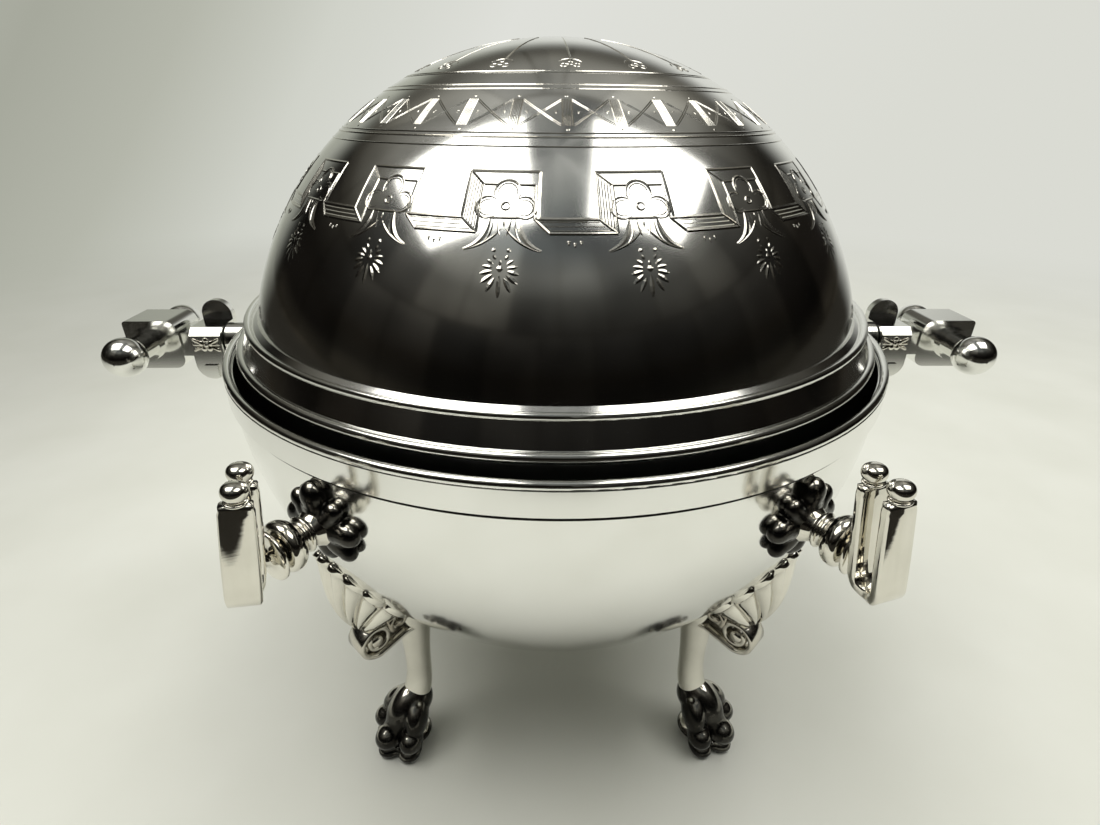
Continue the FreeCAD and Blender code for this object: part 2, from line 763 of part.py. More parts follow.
FOOT_TURN = Rotation(Vector(0, 0, 1), SIZES["foot_azimuth"] - 90)
LEG_PLACE_SHARE = 0.66442
leg_at = SIZES["bowl_radius"] * LEG_PLACE_SHARE
leg_top = SIZES["pivot_height"] - math.sqrt(SIZES["bowl_radius"] ** 2 - leg_at ** 2)
leg_top += SIZES["leg_rise"]
paw_at = leg_at + SIZES["paw_offset"]
volute_spot = Vector(leg_at + SIZES["volute_reach"], 0, leg_top - SIZES["volute_drop"])
# (share of the leg's top height, offset outwards, depth and width as shares of the leg's)
COLUMN_SHARES = (
    (1.00, 0.10, 1.50, 1.20),
    (0.83, 0.06, 1.26, 1.10),
    (0.64, 0.00, 1.06, 1.02),
    (0.45, 0.02, 0.98, 0.98),
    (0.33, 0.34, 1.28, 1.18),
    (0.20, 0.82, 1.80, 1.50),
    (0.08, 1.04, 2.00, 1.68),
)
# (share of the way from column to volute, rise and half width as shares of the volute's)
ARM_SHARES = ((0.0, 1.62, 1.30), (0.5, 1.26, 1.20), (1.0, 0.92, 1.02))


def leg():
    depth = SIZES["leg_half_depth"]
    width = SIZES["leg_half_width"]
    rings = []
    for height, shift, long_share, wide_share in COLUMN_SHARES:
        at = Vector(leg_at + depth * shift, 0, leg_top * height)
        rings.append(oval(depth * long_share, width * wide_share, at))
    body = Part.makeLoft(rings, True, False)
    volute = volute_spot
    radius = SIZES["volute_radius"]
    half = SIZES["volute_half_width"]
    across = Rotation(Vector(1, 0, 0), 90)
    eye = half + SIZES["volute_eye_stand"]
    along = Rotation(Vector(0, 1, 0), 90)
    start = leg_at
    bars = []
    for share, rise_share, wide_share in ARM_SHARES:
        at = Vector(start + (volute.x - start) * share, 0, volute.z)
        bars.append(oval(radius * rise_share, half * wide_share, at, along))
    body = body.fuse(Part.makeLoft(bars, True, False))
    scroll = Part.makeCylinder(radius, half * 2, Vector(), Vector(0, 0, 1))
    scroll = scroll.makeFillet(half * 0.25, [scroll.Edges[0], scroll.Edges[2]])
    body = body.fuse(moved(scroll, volute.add(Vector(0, half, 0)), across))
    hub = Part.makeCylinder(SIZES["volute_eye_radius"], eye * 2)
    body = body.fuse(moved(hub, volute.add(Vector(0, eye, 0)), across))
    paw = Vector(paw_at, 0, 0)
    height = SIZES["toe_height"]
    reach = SIZES["side_toe_reach"]
    toe_width = SIZES["toe_half_width"]
    pad = egg(reach * 1.05, reach * 0.9, height * 1.1, paw.add(Vector(0, 0, height * 0.7)))
    body = body.fuse(pad)
    for way in (-1, 0, 1):
        spin = Rotation(Vector(0, 0, 1), SIZES["toe_spread"] * way)
        out = reach if way else SIZES["toe_reach"]
        at = paw.add(spin.multVec(Vector(out, 0, height * 0.82)))
        body = body.fuse(egg(SIZES["toe_length"], toe_width, height, at, spin))
    under = Part.makeBox(reach * 8, reach * 8, height * 4,
                         Vector(paw.x - reach * 4, -reach * 4, -height * 4))
    return body.cut(under).cut(bowl_ball)


# fan leaf: five ribs that spread up the bowl from the volute. Each section is
# (share of the way down, share of the way in)
FAN_SHARES = ((0.0, 0.0), (0.34, 0.26), (0.68, 0.64), (1.0, 0.98))
FAN_RIBS = 5
FAN_RIB_SHARE = 0.32


def fan_section(at, lean, width):
    """A strip with scalloped ribs on its outer side, square to the way down."""
    half = width / 2
    inner = -SIZES["fan_thick"] / 2
    outer = SIZES["fan_thick"] / 2
    turn = Rotation(Vector(0, 1, 0), lean)

    def spot(out, side):
        return at.add(turn.multVec(Vector(out, side, 0)))

    edges = [Part.makeLine(spot(inner, half), spot(inner, -half)),
             Part.makeLine(spot(inner, -half), spot(outer, -half))]
    for rib in range(FAN_RIBS):
        low = -half + width * rib / FAN_RIBS
        high = low + width / FAN_RIBS
        crest = spot(outer + (high - low) * FAN_RIB_SHARE, (low + high) / 2)
        edges.append(Part.Arc(spot(outer, low), crest, spot(outer, high)).toShape())
    edges.append(Part.makeLine(spot(outer, half), spot(inner, half)))
    return Part.Wire(edges)


def fan():
    drop = SIZES["fan_top_drop"]
    beside = math.sqrt(SIZES["bowl_radius"] ** 2 - drop ** 2)
    top = Vector(beside + SIZES["fan_top_stand"], 0, SIZES["pivot_height"] - drop)
    radius = SIZES["volute_radius"]
    end = volute_spot.add(Vector(radius * 0.15, 0, radius * 0.8))
    sections = []
    for down, inward in FAN_SHARES:
        at = Vector(top.x + (end.x - top.x) * inward, 0, top.z + (end.z - top.z) * down)
        slope = (1 - down) * 20 + down * 8
        width = SIZES["fan_top_width"] + (SIZES["fan_low_width"] - SIZES["fan_top_width"]) * down
        sections.append(fan_section(at, slope, width))
    return Part.makeLoft(sections, True, False)


leg_shape = leg()
fan_shape = fan().cut(bowl_ball).cut(leg_shape)
leg_front = cast(leg_shape, "leg_front_right", FOOT_TURN)
fan_front = cast(fan_shape, "foot_fan_front_right", FOOT_TURN)
leg_back = mirrored(leg_front, "leg_back_right", Vector(0, 1, 0))
fan_back = mirrored(fan_front, "foot_fan_back_right", Vector(0, 1, 0))
for source, label in ((leg_front, "leg_front_left"), (leg_back, "leg_back_left"),
                      (fan_front, "foot_fan_front_left"), (fan_back, "foot_fan_back_left")):
    mirrored(source, label, Vector(1, 0, 0))


# liner: a stepped pan that hangs on the shafts by two saddle ears

rim_level = -size.liner_rim_drop
rim_under = rim_level - size.liner_wall
ledge_level = -size.liner_ledge_drop
floor_level = -size.liner_floor_drop
ledge_inner = liner_ledge_radius - size.liner_ledge_width
body_inner = liner_body_radius - size.liner_wall
liner_pan = node(lathe("liner_pan", [
    (ZERO, floor_level),
    (liner_floor_radius, floor_level),
    (ledge_inner, ledge_level - size.liner_wall, liner_ledge_radius, 1),
    (liner_ledge_radius + size.liner_wall, ledge_level - size.liner_wall),
    (liner_body_radius, rim_under),
    (liner_radius, rim_under),
    (liner_radius, rim_level),
    (body_inner, rim_level),
    (liner_ledge_radius, ledge_level),
    (ledge_inner - size.liner_wall, ledge_level),
    (liner_floor_radius, floor_level + size.liner_wall, liner_ledge_radius, -1),
    (ZERO, floor_level + size.liner_wall),
]), "liner_pan")
liner_torus = primitive("Torus", "liner_torus",
                        at=(ZERO, ZERO, size.pivot_height + rim_level - size.liner_wall * 0.5),
                        Radius1=liner_radius, Radius2=size.liner_wire)
liner_wire = node(cut("liner_wire_seated", liner_torus, liner_pan), "liner_rim_wire")

saddle_low = rim_level
saddle_block = primitive("Box", "saddle_block",
                         at=(liner_radius - size.saddle_root, -size.saddle_half_width,
                             size.pivot_height + rim_level),
                         Length=size.saddle_stand + size.saddle_root,
                         Width=size.saddle_half_width * 2,
                         Height=size.saddle_top - rim_level)
slot_half = size.hanger_radius + size.saddle_side_gap
saddle_slot = prism("saddle_slot", "YZ_Plane", [
    (slot_half, size.hanger_radius + size.saddle_gap),
    (-slot_half, size.hanger_radius + size.saddle_gap),
    (-slot_half, -size.overrun),
    (slot_half, -size.overrun),
], size.overrun * 2,
    at=(liner_radius + size.liner_wire + size.overrun, ZERO, size.pivot_height))
saddle_open = cut("saddle_open", saddle_block, saddle_slot)
ear_seated = cut("saddle_seated", saddle_open, liner_wire)
saddle_right = node(ear_seated, "liner_ear_right")
mirrored(saddle_right, "liner_ear_left", Vector(1, 0, 0))


# drainer: a thin disc with three rings of round holes and a finger hole

drainer_low = ledge_level + size.drainer_gap
drainer_radius = liner_ledge_radius - size.drainer_side_gap
drainer = lathe("drainer_disc", [
    (size.drainer_grip, drainer_low),
    (drainer_radius, drainer_low),
    (drainer_radius, drainer_low + size.drainer_thick),
    (size.drainer_grip, drainer_low + size.drainer_thick),
])
doc.recompute()
for index, (share, holes) in enumerate(zip(DRAINER_RING_SHARES, DRAINER_HOLES)):
    ring = drainer_radius * share
    circle = drainer.newObject("Sketcher::SketchObject", f"drainer_ring_{index}")
    floor = [item for item in drainer.Origin.OriginFeatures if item.Role == "XY_Plane"][0]
    circle.AttachmentSupport = [(floor, "")]
    circle.MapMode = "FlatFace"
    circle.addGeometry(Part.Circle(Vector(float(ring), 0, 0), Vector(0, 0, 1),
                                   SIZES["drainer_hole"]), False)
    circle.addConstraint(Sketcher.Constraint("PointOnObject", 0, 3, -1))
    circle.addConstraint(Sketcher.Constraint("DistanceX", -1, 1, 0, 3, float(ring)))
    circle.addConstraint(Sketcher.Constraint("Radius", 0, SIZES["drainer_hole"]))
    circle.setExpression("Constraints[1]", ring.text)
    circle.setExpression("Constraints[2]", size.drainer_hole.text)
    pocket = drainer.newObject("PartDesign::Pocket", f"drainer_pocket_{index}")
    pocket.Profile = circle
    pocket.setExpression("Length", (size.liner_floor_drop * 2).text)
    pocket.SideType = "Symmetric"
    doc.recompute()
    pattern = drainer.newObject("PartDesign::PolarPattern", f"drainer_pattern_{index}")
    pattern.Originals = [pocket]
    pattern.Axis = (circle, ["N_Axis"])
    pattern.Angle = 360.0
    pattern.Occurrences = holes
    drainer.Tip = pattern
    doc.recompute()
node(drainer, "drainer_plate")


# every object has to be sound before anything is written

doc.recompute()
for thing in doc.Objects:
    if "Invalid" in thing.State or "Error" in thing.State:
        raise RuntimeError(f"{thing.Label} failed: {thing.State}")
os.makedirs("parts", exist_ok=True)
for thing in NODES:
    shape = thing.Shape
    if shape.isNull() or not shape.isValid() or not shape.Solids:
        raise RuntimeError(f"{thing.Label} has no sound solid")
    print(thing.Label, len(shape.Solids), round(shape.Volume, 1))
    shape.exportStep(f"parts/{thing.Label}.step")
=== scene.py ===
"""Looks for the covered butter dish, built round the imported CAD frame.

The object is silver plate: a round bowl on four paw feet, a half globe lid that turns back
under it on two side pivots, knife rests below the pivots, and a removable pan with a pierced
drainer inside. The CAD nodes give every main form. This file gives them their finishes and
adds what an engraver, a chaser and a caster would: lines cut into the lid, modelled foliage
on the brackets and leaf mounts, and the carving of the legs and feet.
"""

import json
import logging
import math
from collections.abc import Callable
from dataclasses import dataclass, field
from enum import Enum

import bmesh
import bpy
import numpy as np
from mathutils import Euler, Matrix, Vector


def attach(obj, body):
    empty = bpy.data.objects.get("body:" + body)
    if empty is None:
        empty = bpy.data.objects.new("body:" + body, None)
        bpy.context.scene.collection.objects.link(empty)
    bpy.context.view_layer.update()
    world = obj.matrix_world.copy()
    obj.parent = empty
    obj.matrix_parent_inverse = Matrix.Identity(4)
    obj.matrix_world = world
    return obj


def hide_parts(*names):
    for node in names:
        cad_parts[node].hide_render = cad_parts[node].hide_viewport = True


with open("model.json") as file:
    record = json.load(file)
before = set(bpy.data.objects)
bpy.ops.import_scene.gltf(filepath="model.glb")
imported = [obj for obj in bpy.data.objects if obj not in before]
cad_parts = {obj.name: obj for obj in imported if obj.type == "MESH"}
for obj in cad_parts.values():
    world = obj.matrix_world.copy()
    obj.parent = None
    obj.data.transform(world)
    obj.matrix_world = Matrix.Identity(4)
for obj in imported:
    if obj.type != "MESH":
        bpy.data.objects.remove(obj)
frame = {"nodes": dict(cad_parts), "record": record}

logging.basicConfig(level=logging.INFO, format="%(name)s: %(message)s")
LOG = logging.getLogger("butter_dish")

MM = 0.001
PIVOT_HEIGHT = 99.0 * MM
PIVOT_MM = PIVOT_HEIGHT / MM
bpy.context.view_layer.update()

# points nearer than the weld become one, and edges shorter than the sliver go
WELD_MM = 0.002
SLIVER_MM = 0.001

# the numbers of a colour Mix node's two colour inputs and of its colour output
MIX_A = 6
MIX_B = 7
MIX_RESULT = 2

# takes an array of points from one frame to another
Placer = Callable[[np.ndarray], np.ndarray]


class Body(str, Enum):
    """The bodies that the added pieces ride on, by the names the record gives them."""

    BOWL = "bowl"
    DOME = "dome"


class Slot(str, Enum):
    """The record's material slots."""

    ENGRAVED = "engraved_silver"
    BOWL = "bowl_silver"
    INNER = "inner_silver"
    CAST = "cast_silver"
    STEEL = "steel"


class Axis(Enum):
    """The axis that a turn goes about."""

    X = "x"
    Y = "y"
    Z = "z"


# Colour and shader helpers


def linear(code: str, alpha: float = 1.0) -> tuple[float, float, float, float]:
    """Turns an sRGB hex colour into the linear values that a shader wants.

    Each channel is divided by 12.92 below 0.04045, and above it is (c + 0.055) / 1.055 to
    the power 2.4.

    Args:
        code: The colour as six hex digits after a hash sign.
        alpha: The fourth value.

    Returns:
        Red, green, blue and alpha.
    """
    parts = [int(code[i : i + 2], 16) / 255 for i in (1, 3, 5)]
    r, g, b = (c / 12.92 if c <= 0.04045 else ((c + 0.055) / 1.055) ** 2.4 for c in parts)
    return (r, g, b, alpha)


def per_metre(millimetres: float) -> float:
    """Gives a texture's scale for a pattern whose features are that many millimetres apart."""
    return 1.0 / (millimetres * MM)


def add_node(
    tree: bpy.types.NodeTree, kind: str, settings: dict | None = None, links: dict | None = None
) -> bpy.types.Node:
    """Adds one node with its settings and incoming links.

    Args:
        tree: The node tree.
        kind: The node's type name.
        settings: Node properties by name, socket values by (socket,) keys, and a colour ramp's
            stops as pairs of position and hex colour under "stops".
        links: Source sockets by the name or index of the input that they feed.

    Returns:
        The new node.
    """
    made = tree.nodes.new(kind)
    for key, value in (settings or {}).items():
        if isinstance(key, tuple):
            made.inputs[key[0]].default_value = value
        elif key == "stops":
            while len(made.color_ramp.elements) < len(value):
                made.color_ramp.elements.new(0.5)
            for element, (position, code) in zip(made.color_ramp.elements, value):
                element.position = position
                element.color = linear(code)
        else:
            setattr(made, key, value)
    for key, source in (links or {}).items():
        tree.links.new(source, made.inputs[key])
    return made


def empty_material(name: str) -> tuple[bpy.types.Material, bpy.types.NodeTree, bpy.types.Node]:
    """Makes a material with nothing but its output node.

    Args:
        name: The material's name.

    Returns:
        The material, its node tree and the output node.
    """
    material = bpy.data.materials.new(name)
    material.use_nodes = True
    tree = material.node_tree
    tree.nodes.clear()
    return material, tree, add_node(tree, "ShaderNodeOutputMaterial")


def fall_of_light(tree: bpy.types.NodeTree, way: bpy.types.NodeSocket, tones: tuple) -> bpy.types.Node:
    """Colours a direction by how far it lies to the left and up, where the light falls off.

    The ramp's position is 0.8 X - 0.5 Z + 0.6 of the unit direction.

    Args:
        tree: The node tree.
        way: The socket with the unit direction.
        tones: The ramp's stops.

    Returns:
        The ramp.
    """
    score = add_node(
        tree,
        "ShaderNodeVectorMath",
        {"operation": "DOT_PRODUCT", (1,): (0.8, 0.0, -0.5)},
        {0: way},
    )
    shifted = add_node(
        tree,
        "ShaderNodeMath",
        {"operation": "ADD", (1,): 0.6},
        {0: score.outputs["Value"]},
    )
    return add_node(tree, "ShaderNodeValToRGB", {"stops": tones}, {0: shifted.outputs["Value"]})


# Finishes


@dataclass(frozen=True)
class SilverPlate:
    """Electroplated silver on nickel alloy, polished by hand for many years.

    The eye gets a near mirror that is never quite even: cloudy patches where the polish is
    duller, hair scratches from wiping, and warm grey tarnish where the cloth can't reach,
    which is painted by the piece's own attribute; on some pieces that attribute also holds
    painted shade on what faces sideways or down.
    """

    name: str
    base: str = "#E4E1D8"
    tarnish: str = "#6E6350"
    rough_low: float = 0.05
    rough_high: float = 0.16
    cloud_mm: float = 14.0
    tarnish_share: float = 0.10
    # a cloth's scratches are finer than this, and are drawn this coarse so that they show
    hair_mm: float = 0.9
    hair_stretch: float = 14.0
    hair_height_mm: float = 0.004
    dent_mm: float = 9.0
    dent_height_mm: float = 0.010
    veil: float = 0.4
    veil_rough: float = 0.42

    def make(self) -> bpy.types.Material:
        """Builds the node tree.

        Returns:
            The material.
        """
        material, tree, out = empty_material(self.name)
        place = add_node(tree, "ShaderNodeTexCoord").outputs["Object"]
        cloud = add_node(
            tree,
            "ShaderNodeTexNoise",
            {("Scale",): per_metre(self.cloud_mm), ("Detail",): 4.0, ("Roughness",): 0.6},
            {"Vector": place},
        )
        hair_scale = per_metre(self.hair_mm * self.hair_stretch)
        along = add_node(
            tree,
            "ShaderNodeMapping",
            {("Scale",): (1.0, 1.0, self.hair_stretch), ("Rotation",): (0.35, 0.2, 0.6)},
            {"Vector": place},
        )
        hair = add_node(
            tree,
            "ShaderNodeTexNoise",
            {("Scale",): hair_scale, ("Detail",): 3.0, ("Distortion",): 0.4},
            {"Vector": along.outputs["Vector"]},
        )
        across = add_node(
            tree,
            "ShaderNodeMapping",
            {("Scale",): (self.hair_stretch, 1.0, 1.0), ("Rotation",): (0.5, 0.9, -0.3)},
            {"Vector": place},
        )
        second = add_node(
            tree,
            "ShaderNodeTexNoise",
            {("Scale",): hair_scale, ("Detail",): 3.0, ("Distortion",): 0.6},
            {"Vector": across.outputs["Vector"]},
        )
        hairs = add_node(
            tree,
            "ShaderNodeMath",
            {"operation": "ADD"},
            {0: hair.outputs["Fac"], 1: second.outputs["Fac"]},
        )
        # the attribute holds tarnish in valleys and, on some pieces, painted shade on what faces sideways or
        # down
        hollow = add_node(tree, "ShaderNodeAttribute", {"attribute_name": "hollow"})
        patches = add_node(
            tree,
            "ShaderNodeMapRange",
            {
                ("From Min",): 0.48,
                ("From Max",): 0.78,
                ("To Min",): 0.0,
                ("To Max",): self.tarnish_share * 3,
            },
            {"Value": cloud.outputs["Fac"]},
        )
        # tarnish patches plus the attribute's tarnish and painted shade
        dirt_and_shade = add_node(
            tree,
            "ShaderNodeMath",
            {"operation": "ADD", "use_clamp": True},
            {0: patches.outputs["Result"], 1: hollow.outputs["Fac"]},
        )
        colour = add_node(
            tree,
            "ShaderNodeMix",
            {"data_type": "RGBA", (MIX_A,): linear(self.base), (MIX_B,): linear(self.tarnish)},
            {0: dirt_and_shade.outputs["Value"]},
        )
        wear = add_node(
            tree,
            "ShaderNodeMath",
            {"operation": "MULTIPLY_ADD", (1,): 0.8},
            {0: hairs.outputs["Value"], 2: dirt_and_shade.outputs["Value"]},
        )
        polish = add_node(
            tree,
            "ShaderNodeMapRange",
            {
                ("From Min",): 0.6,
                ("From Max",): 1.5,
                ("To Min",): self.rough_low,
                ("To Max",): self.rough_high,
            },
            {"Value": wear.outputs["Value"]},
        )
        dents = add_node(
            tree,
            "ShaderNodeTexNoise",
            {("Scale",): per_metre(self.dent_mm), ("Detail",): 1.0},
            {"Vector": place},
        )
        waves = add_node(
            tree,
            "ShaderNodeBump",
            {("Strength",): 1.0, ("Distance",): self.dent_height_mm * MM},
            {"Height": dents.outputs["Fac"]},
        )
        bump = add_node(
            tree,
            "ShaderNodeBump",
            {("Strength",): 1.0, ("Distance",): self.hair_height_mm * MM},
            {"Height": hairs.outputs["Value"], "Normal": waves.outputs["Normal"]},
        )
        shader = add_node(
            tree,
            "ShaderNodeBsdfPrincipled",
            {
                ("Metallic",): 1.0,
                ("Coat Weight",): self.veil,
                ("Coat Roughness",): self.veil_rough,
            },
            {
                "Base Color": colour.outputs[MIX_RESULT],
                "Roughness": polish.outputs["Result"],
                "Normal": bump.outputs["Normal"],
            },
        )
        tree.links.new(shader.outputs["BSDF"], out.inputs["Surface"])
        return material


@dataclass(frozen=True)
class StudioFloor:
    """A plain pale painted board that fades into the background.

    The eye gets one even pale ground: near the object it is matt paint that takes the shadow,
    and far off it turns into the background's own tone, so no horizon line shows.
    """

    name: str = "pale_board"
    paint: str = "#E8E9E3"
    second_paint: str = "#D6D7CE"
    dark_room: str = "#2A2823"
    grain_mm: float = 60.0
    eye_level: tuple = (0.0, -0.144, 0.150)
    tones: tuple = ()
    near_m: float = 0.30
    far_m: float = 0.85
    edge_m: float = -0.232
    edge_soft_m: float = 0.006
    behind_from: float = 0.55
    behind_to: float = 0.85
    shade_from_m: float = -0.32
    shade_to_m: float = -0.12
    shade_level: float = 0.70

    def make(self) -> bpy.types.Material:
        """Builds the node tree.

        Returns:
            The material.
        """
        material, tree, out = empty_material(self.name)
        place = add_node(tree, "ShaderNodeTexCoord").outputs["Object"]
        distance = add_node(tree, "ShaderNodeVectorMath", {"operation": "LENGTH"}, {0: place})
        fade = add_node(
            tree,
            "ShaderNodeMapRange",
            {
                "interpolation_type": "SMOOTHSTEP",
                ("From Min",): self.near_m,
                ("From Max",): self.far_m,
            },
            {"Value": distance.outputs["Value"]},
        )
        rays = add_node(tree, "ShaderNodeLightPath")
        seen = add_node(
            tree,
            "ShaderNodeMath",
            {"operation": "MAXIMUM"},
            {0: rays.outputs["Is Camera Ray"], 1: rays.outputs["Is Transmission Ray"]},
        )
        # metal shows the far ground too, but only where it lies well behind the object
        way = add_node(tree, "ShaderNodeVectorMath", {"operation": "NORMALIZE"}, {0: place})
        heading = add_node(tree, "ShaderNodeSeparateXYZ", {}, {0: way.outputs["Vector"]})
        behind = add_node(
            tree,
            "ShaderNodeMapRange",
            {
                "interpolation_type": "SMOOTHSTEP",
                ("From Min",): self.behind_from,
                ("From Max",): self.behind_to,
            },
            {"Value": heading.outputs["Y"]},
        )
        mirrored = add_node(
            tree,
            "ShaderNodeMath",
            {"operation": "MULTIPLY"},
            {0: rays.outputs["Is Glossy Ray"], 1: behind.outputs["Result"]},
        )
        # and the board ends a little way in front of the dish, where the room is dark
        spot = add_node(tree, "ShaderNodeSeparateXYZ", {}, {0: place})
        edge = add_node(
            tree,
            "ShaderNodeMapRange",
            {
                ("From Min",): self.edge_m + self.edge_soft_m,
                ("From Max",): self.edge_m - self.edge_soft_m,
            },
            {"Value": spot.outputs["Y"]},
        )
        unlit = add_node(
            tree,
            "ShaderNodeMath",
            {"operation": "MULTIPLY"},
            {0: rays.outputs["Is Glossy Ray"], 1: edge.outputs["Result"]},
        )
        faded = add_node(
            tree,
            "ShaderNodeMath",
            {"operation": "MAXIMUM"},
            {0: fade.outputs["Result"], 1: unlit.outputs["Value"]},
        )
        shown = add_node(
            tree,
            "ShaderNodeMath",
            {"operation": "MAXIMUM"},
            {0: seen.outputs["Value"], 1: mirrored.outputs["Value"]},
        )
        grain = add_node(
            tree,
            "ShaderNodeTexNoise",
            {("Scale",): per_metre(self.grain_mm), ("Detail",): 3.0},
            {"Vector": place},
        )
        paint = add_node(
            tree,
            "ShaderNodeMix",
            {"data_type": "RGBA", (MIX_A,): linear(self.paint), (MIX_B,): linear(self.second_paint)},
            {0: grain.outputs["Fac"]},
        )
        # the board is a little darker to the left, away from the light
        shade = add_node(
            tree,
            "ShaderNodeMapRange",
            {
                ("From Min",): self.shade_from_m,
                ("From Max",): self.shade_to_m,
                ("To Min",): self.shade_level,
                ("To Max",): 1.0,
            },
            {"Value": spot.outputs["X"]},
        )
        shaded = add_node(
            tree,
            "ShaderNodeVectorMath",
            {"operation": "SCALE"},
            {0: paint.outputs[MIX_RESULT], "Scale": shade.outputs["Result"]},
        )
        board = add_node(
            tree,
            "ShaderNodeBsdfPrincipled",
            {("Roughness",): 0.7, ("Specular IOR Level",): 0.2},
            {"Base Color": shaded.outputs["Vector"]},
        )
        outward = add_node(
            tree,
            "ShaderNodeVectorMath",
            {"operation": "SUBTRACT", (1,): self.eye_level},
            {0: place},
        )
        level = add_node(
            tree,
            "ShaderNodeVectorMath",
            {"operation": "NORMALIZE"},
            {0: outward.outputs["Vector"]},
        )
        fall = fall_of_light(tree, level.outputs["Vector"], self.tones)
        light = add_node(
            tree,
            "ShaderNodeEmission",
            {("Strength",): 1.0},
            {"Color": fall.outputs["Color"]},
        )
        dark = add_node(
            tree,
            "ShaderNodeEmission",
            {("Color",): linear(self.dark_room), ("Strength",): 1.0},
        )
        ground = add_node(
            tree,
            "ShaderNodeMixShader",
            {},
            {0: shown.outputs["Value"], 1: dark.outputs["Emission"], 2: light.outputs["Emission"]},
        )
        surface = add_node(
            tree,
            "ShaderNodeMixShader",
            {},
            {0: faded.outputs["Value"], 1: board.outputs["BSDF"], 2: ground.outputs["Shader"]},
        )
        tree.links.new(surface.outputs["Shader"], out.inputs["Surface"])
        return material


# Mesh helpers


def quads(rows: int, columns: int, wrap_rows: bool = False, wrap_columns: bool = False) -> np.ndarray:
    """Lists the four corners of each cell of a grid of points.

    Point (i, j) has the number i * columns + j. A wrapped direction joins its last line of
    points to its first.

    Args:
        rows: Points along the first parameter.
        columns: Points along the second parameter.
        wrap_rows: Whether the first parameter closes on itself.
        wrap_columns: Whether the second parameter closes on itself.

    Returns:
        An array of cells by four point numbers.
    """
    i = np.arange(rows if wrap_rows else rows - 1)
    j = np.arange(columns if wrap_columns else columns - 1)
    a, b = np.meshgrid(i, j, indexing="ij")
    c, d = (a + 1) % rows, (b + 1) % columns
    corners = [a * columns + b, c * columns + b, c * columns + d, a * columns + d]
    return np.stack(corners, -1).reshape(-1, 4)


def new_mesh(
    name: str,
    points: np.ndarray,
    faces: np.ndarray,
    smooth: bool = True,
    hollow: np.ndarray | None = None,
) -> bpy.types.Object:
    """Puts points and faces into a new object that sits at the origin.

    Args:
        name: The object's name.
        points: Positions in metres, one row each.
        faces: Corner numbers, three or four to a face, one row each.
        smooth: Whether the faces are shaded smooth.
        hollow: How much tarnish each point holds, from 0 to 1.

    Returns:
        The object, linked to the scene.
    """
    mesh = bpy.data.meshes.new(name)
    mesh.vertices.add(len(points))
    mesh.vertices.foreach_set("co", np.ascontiguousarray(points, np.float32).ravel())
    corners = faces.shape[1]
    mesh.loops.add(faces.size)
    mesh.loops.foreach_set("vertex_index", faces.astype(np.int32).ravel())
    mesh.polygons.add(len(faces))
    mesh.polygons.foreach_set("loop_start", np.arange(0, faces.size, corners, dtype=np.int32))
    mesh.polygons.foreach_set("use_smooth", np.full(len(faces), smooth))
    mesh.update(calc_edges=True)
    mesh.validate()
    if hollow is not None:
        layer = mesh.attributes.new("hollow", "FLOAT", "POINT")
        layer.data.foreach_set("value", hollow.astype(np.float32).ravel())
    made = bpy.data.objects.new(name, mesh)
    bpy.context.scene.collection.objects.link(made)
    return made


def settle(piece: bpy.types.Object, body: Body, material: bpy.types.Material) -> None:
    """Gives a finished piece its material and the body that carries it.

    Args:
        piece: The finished object.
        body: The body it moves with.
        material: The finish.
    """
    piece.data.materials.clear()
    piece.data.materials.append(material)
    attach(piece, body.value)
    LOG.info("%s rides on %s: %d faces", piece.name, body.value, len(piece.data.polygons))


# Forms for cast and turned pieces


def chaikin(points: np.ndarray, rounds: int = 2) -> np.ndarray:
    """Rounds the corners of an open line of points.

    Each round puts two points on every run, a quarter and three quarters along it, and keeps
    the two ends.

    Args:
        points: The line, one row a point.
        rounds: How often the corners are cut.

    Returns:
        The rounded line.
    """
    line_now = np.asarray(points, float)
    for _ in range(rounds):
        near = 0.75 * line_now[:-1] + 0.25 * line_now[1:]
        far = 0.25 * line_now[:-1] + 0.75 * line_now[1:]
        inner = np.stack([near, far], 1).reshape(-1, line_now.shape[1])
        line_now = np.concatenate([line_now[:1], inner, line_now[-1:]])
    return line_now


def turn_about(axis: Axis, degrees: float) -> np.ndarray:
    """Gives the matrix that turns a point about one of the three axes.

    Its rows hold the cosine and the sine of the angle in the plane square to the axis.

    Args:
        axis: The axis that stays where it is.
        degrees: The angle.

    Returns:
        Three rows of three.
    """
    c, s = math.cos(math.radians(degrees)), math.sin(math.radians(degrees))
    rows = {
        Axis.X: [[1, 0, 0], [0, c, -s], [0, s, c]],
        Axis.Y: [[c, 0, s], [0, 1, 0], [-s, 0, c]],
        Axis.Z: [[c, -s, 0], [s, c, 0], [0, 0, 1]],
    }
    return np.array(rows[axis], float)


@dataclass
class Egg:
    """An ellipsoid in a cast form: its centre, its three half sizes, and how it is turned."""

    centre: tuple
    half: tuple
    yaw: float = 0.0
    pitch: float = 0.0
    roll: float = 0.0

    def exit(self, start: np.ndarray, ways: np.ndarray) -> np.ndarray:
        """Finds how far each ray from the start runs before it leaves the ellipsoid.

        With the start and the rays measured in half sizes along the ellipsoid's own axes, the
        far root of |start + t way| = 1 is (-b + sqrt(b^2 - a c)) / a.

        Args:
            start: The point that the rays leave.
            ways: Unit directions with a last axis of three.

        Returns:
            The distances, 0 where a ray misses.
        """
        tipped = turn_about(Axis.Z, self.yaw) @ turn_about(Axis.Y, self.pitch)
        turn = tipped @ turn_about(Axis.X, self.roll)
        shrink = turn / np.array(self.half)
        m = (start - np.array(self.centre)) @ shrink
        k = ways @ shrink
        a, b, c = (k * k).sum(-1), k @ m, m @ m - 1
        root = b * b - a * c
        far = (-b + np.sqrt(np.maximum(root, 0))) / a
        return np.where((root > 0) & (far > 0), far, 0.0)


